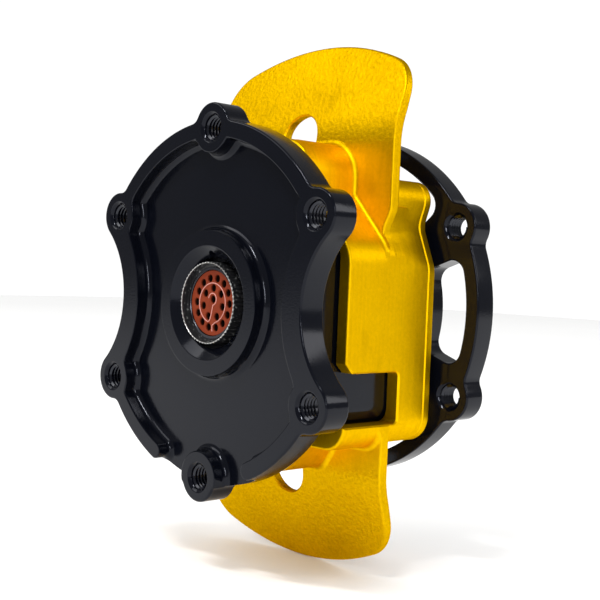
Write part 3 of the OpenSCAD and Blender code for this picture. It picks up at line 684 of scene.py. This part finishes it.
def makePocketCutter():
    w = wheelPlate
    floorY, edge, fillet = w["pocketDepth"], w["rimEdge"], w["floorFillet"]
    sections = [(pocketLoop(-edge), -past), (pocketLoop(-edge), 0), (pocketLoop(-edge * 0.3), edge * 0.3),
                (pocketLoop(), edge)]
    sections += [(pocketLoop(inset), floorY - rise) for inset, rise in filletSteps(fillet)]
    cutter = loopBody("pocket", sections)
    radius = bolts["earRadius"] + w["islandGap"]
    profile = [(0, -2 * past), (radius - edge, -2 * past)] + postFoot(radius, 0, fillet)
    carve(cutter, lathe("island", profile, 96, polar(bolts["circle"], 180)))
    profile = [(0, w["ringFace"])] + postFoot(w["ringRadius"], w["ringFace"], w["ringFillet"])
    carve(cutter, lathe("ring", profile, 160))
    return cutter


def makeWheelPlate():
    w = wheelPlate
    face, bore, mouth, thick = w["ringFace"], w["bore"], w["ringMouth"], w["thickness"]
    plate = prism("wheelPlateBody", earedLoop(w["radius"], w["scallop"]), 0, thick,
                  w["outerRound"], w["outerRound"])
    carve(plate, makePocketCutter())
    # the ring's eased mouth, its cone down to the bore, and the boss's recess behind
    coneY, bossY = face + w["ringConeDepth"], thick - w["bossDepth"]
    profile = [(0, -past), (mouth + 1.5, -past), (mouth + 0.25, face), (mouth, face + 0.12),
               (mouth - 0.15, face + 0.35), (bore + 0.4, coneY - 0.15), (bore, coneY + 0.25), (bore, bossY),
               (w["bossRadius"], bossY), (w["bossRadius"], thick + past), (0, thick + past)]
    carve(plate, lathe("mouth", profile, 160))
    profile = [(0, -past), (w["notchRadius"], -past), (w["notchRadius"], bossY), (0, bossY)]
    carve(plate, lathe("notch", profile, 32, (0, bore + w["notchLift"])))
    carve(plate, earHoles(0, thick))
    place(smoothFaces(tidyFaces(plate)), "coupling", "black_anodised", black, "wheel_plate")
    place(threads("wheelPlateThreads", 0, thick), "coupling", "black_anodised", blackTurned)


makeWheelPlate()
print("wheel plate made")


# column flange

columnFlange = {
    "radius": 37.0, "slotInner": 24.0, "slotOuter": 33.7, "slotHalfAngle": 20.0, "slotCorner": 3.0,
    "outerRound": 0.4, "edge": 0.3, "spigotBore": 15.0, "baseRadius": 21.05, "baseDepth": 2.8,
}


def slotLoop(middle):
    c = columnFlange
    low, high, r, half = c["slotInner"], c["slotOuter"], c["slotCorner"], c["slotHalfAngle"]
    lowSwing = half - math.degrees(math.asin(r / (low + r)))
    highSwing = half - math.degrees(math.asin(r / (high - r)))

    def corner(radius, rim, swing, toWall):
        # between the slot's arc on this rim and its end wall
        centre = polar(radius, middle + swing)
        onRim = polar(rim, middle + swing)
        onWall = centre + r * polar(1, middle + math.copysign(half + 90, swing))
        start, end = (onRim, onWall) if toWall else (onWall, onRim)
        return arcPoints(centre, start, end, True, 12)

    loop = axisArc(high, middle - highSwing, middle + highSwing)
    loop += corner(high - r, high, highSwing, True) + corner(low + r, low, lowSwing, False)
    loop += axisArc(low, middle + lowSwing, middle - lowSwing, False)
    return loop + corner(low + r, low, -lowSwing, True) + corner(high - r, high, -highSwing, False)


def makeColumnFlange():
    c = columnFlange
    y0, y1 = nodeSpan("column_flange")
    edge = c["edge"]
    flange = prism("columnFlangeBody", earedLoop(c["radius"]), y0, y1, c["outerRound"], c["outerRound"])
    loops = [slotLoop(angle + earPitch / 2) for angle in earAngles]
    carve(flange, joined("slots", [prism("slot", loop, y0, y1, -edge, -edge) for loop in loops]))
    inner, seat, floorY = c["spigotBore"], c["baseRadius"], y1 - c["baseDepth"]
    profile = [(0, y0 - past), (inner + edge, y0 - past), (inner + edge, y0), (inner, y0 + edge),
               (inner, floorY), (seat, floorY), (seat, y1 - edge), (seat + edge, y1),
               (seat + edge, y1 + past), (0, y1 + past)]
    carve(flange, lathe("bore", profile))
    carve(flange, earHoles(y0, y1))
    place(smoothFaces(tidyFaces(flange)), "coupling", "black_anodised", black, "column_flange")
    place(threads("columnFlangeThreads", y0, y1), "coupling", "black_anodised", blackTurned)


makeColumnFlange()
print("column flange made")


# release sleeve: front part with its nose, rear part and two bent wings, then hollowed out

sleeve = {
    "halfWidth": 27.0, "wall": 3.0, "hump": 33.6, "humpHalf": 16.9, "humpCorner": 7.4, "noseLead": 2.2,
    "shoulder": 22.7, "shoulderLow": 12.5, "shoulderRound": 8.0, "shoulderDrop": 0.9,
    "floor": 27.6, "floorRound": 5.0, "keelHalf": 11.0, "keelSlope": 4.0, "keelRound": 3.4,
    "rearTop": 26.7, "rearFloor": 26.7, "roofStep": 0.7, "floorStep": 0.6, "cavityRound": 3.0,
    "lobe": 0.2, "neck": 3.3, "neckDown": 9.4, "lowDown": 17.8, "rearRounds": [4.2, 4.0, 6.0, 5.6],
    "flushTop": 20.8, "flushLow": 9.0, "flushFade": 5.0, "flushLength": 5.0, "ledge": 1.35,
    "frontLength": 11.0, "camLength": 7.0, "camRadius": 19.15, "camSlope": 0.3,
    "footLength": 3.2, "footRing": 22.85, "footLow": 8.6,
    "bushRadius": 2.08, "bushHeight": 28.0, "bushDepth": 4.0, "pinRelief": 1.4,
    "notchTop": -12.3, "notchLow": -22.7, "notchLength": 15.5, "notchLead": 2.0,
    "seamLead": 2.03, "seamDepth": 0.25, "seamHalf": 0.26, "seamMargin": 0.5,
    "frontRound": 0.6, "rearRound": 0.35, "rootCove": 1.1, "innerEdge": 0.25, "notchEdge": 0.35,
    # small steps that keep faces apart or let pieces overlap where they are joined
    "noseInset": 0.06, "noseOverlap": 3.0, "rootSkin": 0.02, "rootTail": 0.8, "rearLead": 0.5,
}
wing = {
    "radius": 55.3, "lift": 0.4, "thickness": 2.4, "tipShare": 0.6, "corner": 9.0, "root": 8.0, "edge": 0.5,
    "bendStart": 33.0, "bendRadius": 20.0, "bendAngle": 20.0, "lowBendAngle": 17.0,
    "scoopHeight": 15.7, "scoopDepth": 1.8, "scoopReach": 5.2, "scoopInset": 0.03,
    "arch": 4.8, "archRise": 2.0, "archEdge": 0.35,
}


def cavityLoop(inset):
    # the front part's sloping shoulders and the rear part's top and floor, all moved in by inset
    s = sleeve
    high, low = Vector((s["humpHalf"], s["shoulder"])), Vector((s["halfWidth"], s["shoulderLow"]))
    along = (low - high).normalized()
    out = Vector((-along.y, along.x))
    reach = out.dot(low) - inset
    side, top = s["halfWidth"] - inset, s["rearTop"] - s["roofStep"] - inset
    right = [((reach - out.y * top) / out.x, top), (side, (reach - out.x * side) / out.y),
             (side, inset - s["rearFloor"])]
    return evenLoop(right, [s["cavityRound"], s["cavityRound"], s["cavityRound"] + 1])


def springRoom(halfWidth, corner, up):
    # up is 1 for the upper room and -1 for the lower one
    x, high = up * halfWidth, up * (sleeve["hump"] - sleeve["wall"])
    return roundedLoop([(x, high), (x, 0), (-x, 0), (-x, high)], [corner, 0, 0, corner])


def scoopedSide(z):
    # half the wing's width at height z, scooped out near its root
    swing = max(-1, min(1, (z - wing["scoopHeight"]) / wing["scoopReach"]))
    return sleeve["halfWidth"] - wing["scoopDepth"] * (1 + math.cos(math.pi * swing)) / 2


def wingLoop(radius):
    w = wing
    half = sleeve["halfWidth"]
    cornerX = half - w["corner"]
    cornerZ = math.sqrt((radius - w["corner"]) ** 2 - cornerX ** 2)
    steps = 14
    heights = [w["scoopHeight"] + w["scoopReach"] * (2 * k / steps - 1) for k in range(steps + 1)]
    side = [Vector((half, w["root"]))] + [Vector((scoopedSide(z), z)) for z in heights]
    side.append(Vector((half, cornerZ)))
    centre = Vector((cornerX, cornerZ))
    turn = arcPoints(centre, centre + w["corner"] * centre.normalized(), side[-1], True, 4)
    right = turn[:-1] + side[::-1]
    left = [Vector((-p.x, p.y)) for p in reversed(right)]
    return left[:-1] + arcPoints(origin, left[-1], right[0], True, 2) + right[1:]


def bentDepth(z, radius, turn):
    # how far a face bent to this radius lies behind the flat part's front at height z
    w = wing
    rise = max(0, z - w["bendStart"])
    if rise < radius * math.sin(turn):
        return w["bendRadius"] - math.sqrt(radius ** 2 - rise ** 2)
    return w["bendRadius"] - radius * math.cos(turn) + (rise - radius * math.sin(turn)) * math.tan(turn)


def makeWing(y0, down=False):
    # cut flat, scored in rows across the bend, then bent back
    w = wing
    thick = w["thickness"]
    radius = w["radius"] - w["lift"] if down else w["radius"] + w["lift"]
    turn = math.radians(w["lowBendAngle"] if down else w["bendAngle"])
    plate = prism("wing", wingLoop(radius), y0, y0 + thick, w["edge"], w["edge"], 4)
    base, middle = sleeve["hump"], sleeve["hump"] + w["archRise"]
    left, right = Vector((-w["arch"], middle)), Vector((w["arch"], middle))
    arch = [Vector((-w["arch"], base))] + arcPoints(Vector((0, middle)), left, right, True, 6)
    arch.append(Vector((w["arch"], base)))
    carve(plate, prism("arch", arch, y0, y0 + thick, -w["archEdge"], -w["archEdge"]))
    bendEnd = w["bendStart"] + w["bendRadius"] * math.sin(turn)
    rows = 8
    editAll(plate)
    for k in range(rows + 1):
        z = w["bendStart"] + w["bendRadius"] * math.sin(turn * k / rows)
        bpy.ops.mesh.select_all(action="SELECT")
        bpy.ops.mesh.bisect(plane_co=(0, 0, z * mm), plane_no=(0, 0, 1))
    bpy.ops.object.mode_set(mode="OBJECT")
    for v in plate.data.vertices:
        front, back = (bentDepth(v.co.z / mm, w["bendRadius"] - t, turn) for t in (0, thick))
        thinned = 1 - (1 - w["tipShare"]) * max(0, v.co.z / mm - bendEnd) / (radius - bendEnd)
        v.co.y = (y0 + front) * mm + thinned * (back - front) / thick * (v.co.y - y0 * mm)
    if down:
        plate.scale.z = -1
        bpy.ops.object.transform_apply()
        facesOutwards(plate)
    return plate


def block(name, x, low, high, y0, y1):
    return prism(name, [Vector((-x, high)), Vector((x, high)), Vector((x, low)), Vector((-x, low))], y0, y1)


def frontOutline():
    # the hump, its sloping shoulders, the side flats, the floor and the keel
    s = sleeve
    half = s["halfWidth"]
    right = [(s["humpHalf"], s["hump"]), (s["humpHalf"], s["shoulder"]),
             (half, s["shoulderLow"] - s["shoulderDrop"]), (half, -s["floor"]),
             (s["keelHalf"] + s["keelSlope"], -s["floor"]), (s["keelHalf"], -s["hump"])]
    radii = [s["humpCorner"], 2, s["shoulderRound"], s["floorRound"], s["keelRound"], s["keelRound"]]
    return cleanLoop(squared(evenLoop(right, radii), half))


def rearOutline():
    # two lobes on top, the waisted neck and the side flats, scored where the neck's fill changes
    s = sleeve
    half, top = s["halfWidth"], s["rearTop"]
    right = [(half - s["lobe"], top), (half - s["neck"], top - s["neckDown"]), (half, top - s["lowDown"]),
             (half, -s["rearFloor"] - s["floorStep"])]
    loop = cleanLoop(squared(evenLoop(right, s["rearRounds"]), half))
    heights = [s["flushLow"] + 1.5 + k for k in range(10)] + [s["flushTop"] - 0.05, s["flushTop"] + 0.05]
    return cleanLoop(scored(loop, heights), 0.04)


def filledNeck(rear, depth, length):
    # the rear outline this far behind the wing, its neck filled towards the wing's scooped edge; the fill
    # fades out over length, and sooner near its top
    s = sleeve
    filled = []
    for p in rear:
        x = abs(p.x)
        if s["flushLow"] < p.y < s["flushTop"] and scoopedSide(p.y) > x > s["halfWidth"] / 2:
            low = min(1, (s["flushTop"] - p.y) / s["flushFade"])
            reach = s["flushLength"] + (length - s["flushLength"]) * low
            share = 1 - max(0, min(1, depth / reach))
            x += share * min(s["ledge"], scoopedSide(p.y) - wing["scoopInset"] - x)
        filled.append(Vector((math.copysign(x, p.x), p.y)))
    return filled


def makeSleeveFront(noseY, frontY, wingY):
    s = sleeve
    half, cove = s["halfWidth"], s["rootCove"]
    front = frontOutline()

    def spread(distance):
        # the outline grown outwards, but not past the side flats
        return [Vector((max(-half, min(half, p.x)), p.y)) for p in grownLoop(front, distance)]

    sections = [(grownLoop(front, -d), y) for d, y in roundedRim(frontY, s["frontRound"], 4, 1)]
    sections += [(spread(inset), wingY - rise) for inset, rise in filletSteps(cove)]
    sections += [(spread(cove), wingY + s["rootSkin"]), (front, wingY + s["rootTail"])]
    body = loopBody("releaseSleeveBody", sections)
    # the root cove stays clear of the wing's arch
    archHalf, top = wing["arch"] + wing["archEdge"], s["hump"]
    carve(body, block("gap", archHalf, top + 0.01, top + 3, wingY - 2, wingY + 1))
    noseBackY = frontY + s["noseOverlap"]
    nose = prism("nose", grownLoop(front, -s["noseInset"]), noseY, noseBackY, s["frontRound"], 0, 4)
    carve(nose, block("under", 2 * half, -2 * half, s["shoulder"] + 0.05, noseY - past, noseBackY + past))
    return combine(body, nose, "UNION")


def makeSleeveRear(wingY, rearY):
    s = sleeve
    rear = rearOutline()
    backY, seamY = wingY + wing["thickness"], rearY - s["seamLead"]
    length = seamY - s["seamMargin"] - backY
    sections = [(filledNeck(rear, 0, length), wingY + s["rearLead"])]
    steps = 8
    for depth in [length * k / steps for k in range(steps + 1)]:
        sections.append((filledNeck(rear, depth, length), backY + depth))
    sections += [(rear, seamY - s["seamHalf"]), (grownLoop(rear, -s["seamDepth"]), seamY)]
    sections.append((rear, seamY + s["seamHalf"]))
    sections += [(grownLoop(rear, -d), y) for d, y in reversed(roundedRim(rearY, s["rearRound"], 3, -1))]
    return loopBody("rear", sections)


def hollowSleeve(body, noseY, frontY, wingY, rearY):
    # the cavity, a room for each spring, the guide feet's pockets and the cam's cone
    s = sleeve
    wall, edge, ring, camY = s["wall"], s["innerEdge"], s["footRing"], rearY - s["camLength"]
    startY, endY = camY - past, rearY + past
    carve(body, prism("cavity", cavityLoop(wall), frontY, camY, -edge))
    upper = springRoom(s["humpHalf"] - wall, s["humpCorner"] - wall, 1)
    carve(body, prism("upperRoom", upper, noseY, wingY, -edge))
    lower = springRoom(s["keelHalf"] - wall, wall, -1)
    carve(body, prism("lowerRoom", lower, frontY, wingY, -edge))
    feet = prism("feet", cavityLoop(wall), camY - 0.5, camY + s["footLength"])
    carve(feet, lathe("ring", [(0, startY), (ring, startY), (ring, rearY), (0, rearY)]))
    carve(feet, block("middle", s["halfWidth"], -s["footLow"], s["footLow"], startY, rearY))
    carve(body, feet)
    mouth = s["camRadius"] + s["camSlope"] * (s["camLength"] + past)
    cone = [(0, startY), (s["camRadius"] - s["camSlope"], startY), (mouth, endY), (0, endY)]
    carve(body, lathe("cam", cone))


def drill(body, radius, y0, y1, height):
    carve(body, lathe("drill", [(0, y0), (radius, y0), (radius, y1), (0, y1)], 48, (0, height)))


def cutNotch(body, frontY):
    # one cutter across the sleeve makes the notch on both sides
    s = sleeve
    top, low, lead = s["notchTop"], s["notchLow"], s["notchLead"]
    startY, backY = frontY - past, frontY + s["notchLength"]
    corners = [(startY, top + lead + past), (frontY + lead, top), (backY, top), (backY, low), (startY, low)]
    opening = roundedLoop(corners, [0, 0.8, 1, 1, 0])
    notch = prism("notch", opening, -s["halfWidth"], s["halfWidth"], -s["notchEdge"], -s["notchEdge"])
    notch.rotation_euler.z = math.pi / 2
    makeActive(notch)
    bpy.ops.object.transform_apply()
    carve(body, notch)


def makeSleeve():
    s = sleeve
    noseY, rearY = nodeSpan("release_sleeve")
    frontY = noseY + s["noseLead"]
    wingY = frontY + s["frontLength"]
    body = makeSleeveFront(noseY, frontY, wingY)
    combine(body, makeSleeveRear(wingY, rearY), "UNION")
    combine(body, makeWing(wingY), "UNION")
    combine(body, makeWing(wingY, down=True), "UNION")
    hollowSleeve(body, noseY, frontY, wingY, rearY)
    for height in (s["bushHeight"], -s["bushHeight"]):
        drill(body, s["bushRadius"], wingY - past, wingY + s["bushDepth"], height)
    # the lower pin clears the floor as the sleeve slides
    drill(body, s["pinRelief"], wingY, rearY + past, -s["bushHeight"])
    cutNotch(body, frontY)
    place(smoothFaces(tidyFaces(body)), "sleeve", "gold_anodised", gold, "release_sleeve")


makeSleeve()
print("release sleeve made")


# connector front

def contactPlaces():
    c = connector
    outer = [polar(c["outerRing"], (i + 0.5) * 360 / c["outerCount"]) for i in range(c["outerCount"])]
    inner = [polar(c["innerRing"], i * 360 / c["innerCount"]) for i in range(c["innerCount"])]
    return outer + inner + [Vector((0, c["middle"]))]


def makeInsert():
    c = connector
    y0, y1 = connectorFace("wheel_insert") / mm, nodeSpan("wheel_insert")[1]
    radius, hole, chamfer, contact = c["insertRadius"], c["holeRadius"], c["holeChamfer"], c["contactRadius"]
    profile = [(0, y0), (radius - c["edge"], y0), (radius, y0 + c["edge"]), (radius, y1), (0, y1)]
    body = lathe("wheelInsertBody", profile)
    floorY = y0 + c["holeDepth"]
    profile = [(0, y0 - past), (hole + chamfer, y0 - past), (hole + chamfer, y0), (hole, y0 + chamfer),
               (hole, floorY), (contact, floorY), (contact, y1 + past), (0, y1 + past)]
    mouths = joined("mouths", [lathe("mouth", profile, 28, at) for at in contactPlaces()])
    carve(body, mouths)
    place(smoothFaces(tidyFaces(body)), "coupling", "insert_orange", insertOrange, "wheel_insert")


def guidePath():
    # a loop round the middle hole, a spiral out, a turn between the rings of holes, and a short way outwards
    c = connector
    between = (c["outerRing"] + c["innerRing"]) / 2
    path = [Vector((0, c["middle"])) + polar(c["loopRadius"], -80 + 10 * k) for k in range(26)]
    path += [polar(between - 2 + k * 0.5, 184 + k * 2) for k in range(1, 4)]
    path += [polar(between, 196 + 8 * k) for k in range(42)]
    return path + [polar(between + 0.5 + k * 0.6, 538) for k in range(3)]


def makeGuideLine():
    # the fine line moulded on the insert's face: an open chain of edges, made round as a curve
    path = guidePath()
    y = connectorFace("wheel_insert") / mm - 0.01
    line = ringOf("guideLine", [(p.x, y, p.y) for p in path])
    editAll(line)
    bpy.ops.mesh.select_all(action="DESELECT")
    bpy.ops.object.mode_set(mode="OBJECT")
    for edge in line.data.edges:
        edge.select = sorted(edge.vertices) == [0, len(path) - 1]
    bpy.ops.object.mode_set(mode="EDIT")
    bpy.ops.mesh.delete(type="EDGE_FACE")
    bpy.ops.object.mode_set(mode="OBJECT")
    bpy.ops.object.convert(target="CURVE")
    line.data.bevel_depth = connector["lineRadius"] * mm
    line.data.bevel_resolution = 2
    line.data.use_fill_caps = True
    bpy.ops.object.convert(target="MESH")
    place(shadeSmooth(line, 50), "coupling", "insert_orange", guidePink)


def makeShellAndNut():
    # the shell's thin rim stands just in front of the insert, inside the counterbored nut
    c = connector
    edge, fit, outer = c["edge"], c["fit"], c["shellOuter"]
    rimY = connectorFace("wheel_insert") / mm - c["rimLead"]
    nutY, panelY = connectorFace("wheel_jam_nut") / mm, nodeSpan("wheel_jam_nut")[1]
    inner, backY, flangeY = c["insertRadius"], nodeSpan("wheel_shell")[1], panelY + c["panel"]
    flangeBackY = flangeY + c["shellFlangeLength"]
    profile = [(inner + fit, rimY + edge), (inner + edge, rimY), (outer - edge, rimY), (outer, rimY + edge),
               (outer, flangeY), (c["shellFlange"], flangeY), (c["shellFlange"], flangeBackY),
               (outer, flangeBackY), (outer, backY), (inner + fit, backY)]
    shell = smoothFaces(lathe("wheelShellBody", profile, 96))
    place(shell, "coupling", "shell_edge", shellEdge, "wheel_shell")
    corners = range(2 * c["knurls"])
    knurled = [polar(c["nutRadius"] - (i % 2) * c["knurlDepth"], i * 180 / c["knurls"]) for i in corners]
    nut = prism("wheelNut", knurled, nutY, panelY, c["nutEdge"], 0, 2)
    wide, seat = c["nutBore"], outer + fit / 2
    profile = [(0, nutY - past), (wide + edge, nutY - past), (wide + edge, nutY), (wide, nutY + edge),
               (wide, rimY + 2 * edge), (seat, rimY + c["rimLead"]), (seat, panelY + past),
               (0, panelY + past)]
    carve(nut, lathe("bore", profile, 96))
    place(smoothFaces(nut, 20), "coupling", "shell_black", nutBlack, "wheel_jam_nut")


makeInsert()
makeGuideLine()
makeShellAndNut()
print("connector front made")

# smaller CAD pieces: copies with soft edges, and those that only take a material

softCopies = [
    # node, name, body, slot, material, width of the soft edge
    ("hub_body", "hubBody", "coupling", "black_anodised", black, 0.5),
    ("spigot", "spigotBody", "coupling", "bright_steel", steel, 0.2),
    ("retaining_ring", "retainingRing", "coupling", "black_steel", blackSteel, 0.12),
    ("column_nut", "columnNut", "coupling", "shell_black", shellBlack, 0.15),
    ("column_shell", "columnShell", "coupling", "shell_black", shellBlack, 0.15),
    ("spigot_screws", "spigotScrews", "coupling", "black_steel", blackSteel, 0.08),
]
for node, name, body, slot, material, width in softCopies:
    place(softEdges(copiedNode(node, name), width), body, slot, material, node)

plainNodes = {
    "hub_dowels": steel, "guide_pins": steel, "return_springs": springSteel, "guide_bushes": bronze,
    "spigot_o_ring": sealRubber, "interface_seal": sealRubber, "wheel_contacts": contactGold,
    "column_contacts": contactGold, "column_insert": insertOrange,
}
for i in range(1, 7):
    plainNodes["lock_ball_%d" % i] = ballSteel
for node, material in plainNodes.items():
    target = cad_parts[node]
    target.data.materials.clear()
    target.data.materials.append(material)
print("small pieces finished")


# floor and lights in metres, and the camera

stage = {"floorSize": 3.0, "floorGap": 0.0002, "backdrop": 1.06, "reflected": 0.30}


def makeStage():
    deselectAll()
    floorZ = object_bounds()[0][2]
    bpy.ops.mesh.primitive_plane_add(size=stage["floorSize"], location=(0, 0, floorZ - stage["floorGap"]))
    floor = bpy.context.object
    floor.name = "floor"
    bpy.ops.object.transform_apply()
    floor.data.materials.append(paleFloor())
    world = bpy.data.worlds.new("studio")
    bpy.context.scene.world = world
    world.use_nodes = True
    nodes, links = world.node_tree.nodes, world.node_tree.links
    # a white backdrop that looks dimmer in reflections
    shiny = nodes.new("ShaderNodeLightPath").outputs["Is Glossy Ray"]
    level = nodes.new("ShaderNodeMapRange")
    links.new(shiny, level.inputs["Value"])
    level.inputs["To Min"].default_value = stage["backdrop"]
    level.inputs["To Max"].default_value = stage["reflected"]
    back = nodes["Background"]
    back.inputs["Color"].default_value = (1, 1, 1, 1)
    links.new(level.outputs["Result"], back.inputs["Strength"])
    world.cycles.sampling_method = "NONE"
    bpy.context.scene.view_settings.view_transform = "Standard"


lightAim = Vector((0, 0.02, 0))
lights = {
    # name: place, size, power, colour
    "frontLeft": ((-0.50, -0.60, 0.72), (0.60, 0.40), 2.6, (1.0, 0.99, 0.97)),
    "topFront": ((0.14, -0.50, 0.84), (0.30, 0.06), 4.2, (1.0, 1.0, 1.0)),
    "nearCamera": ((0.80, -0.62, 0.30), (0.06, 0.40), 3.4, (0.96, 0.97, 1.0)),
    "rightBack": ((0.75, 0.60, 0.45), (0.50, 0.45), 2.7, (1.0, 0.98, 0.95)),
}


def areaLight(name, place, size, power, colour):
    data = bpy.data.lights.new(name, "AREA")
    data.shape = "RECTANGLE"
    data.size, data.size_y = size
    data.energy = power
    data.color = colour
    light = bpy.data.objects.new(name, data)
    bpy.context.collection.objects.link(light)
    light.location = place
    light.rotation_euler = (lightAim - Vector(place)).to_track_quat("-Z", "Y").to_euler()


camera = {
    "place": (177.1, -146.2, 7.54), "azimuth": 45.68, "elevation": 1.545, "roll": 2.39,
    "lens": 68.83, "sensor": 36, "near": 0.01, "far": 20,
}


def makeCamera():
    a, e, r = (math.radians(camera[k]) for k in ("azimuth", "elevation", "roll"))
    back = Vector((math.sin(a) * math.cos(e), -math.cos(a) * math.cos(e), math.sin(e)))
    right = Vector((math.cos(a), math.sin(a), 0))
    up = back.cross(right)
    tiltedRight = math.cos(r) * right + math.sin(r) * up
    tiltedUp = math.cos(r) * up - math.sin(r) * right
    data = bpy.data.cameras.new("camera")
    data.lens = camera["lens"]
    data.sensor_width = camera["sensor"]
    data.clip_start, data.clip_end = camera["near"], camera["far"]
    item = bpy.data.objects.new("camera", data)
    bpy.context.collection.objects.link(item)
    turn = Matrix((tiltedRight, tiltedUp, back)).transposed().to_4x4()
    item.matrix_world = Matrix.Translation(Vector(camera["place"]) * mm) @ turn
    bpy.context.scene.camera = item


makeStage()
for name, settings in lights.items():
    areaLight(name, *settings)
makeCamera()
print("stage, lights and camera set")
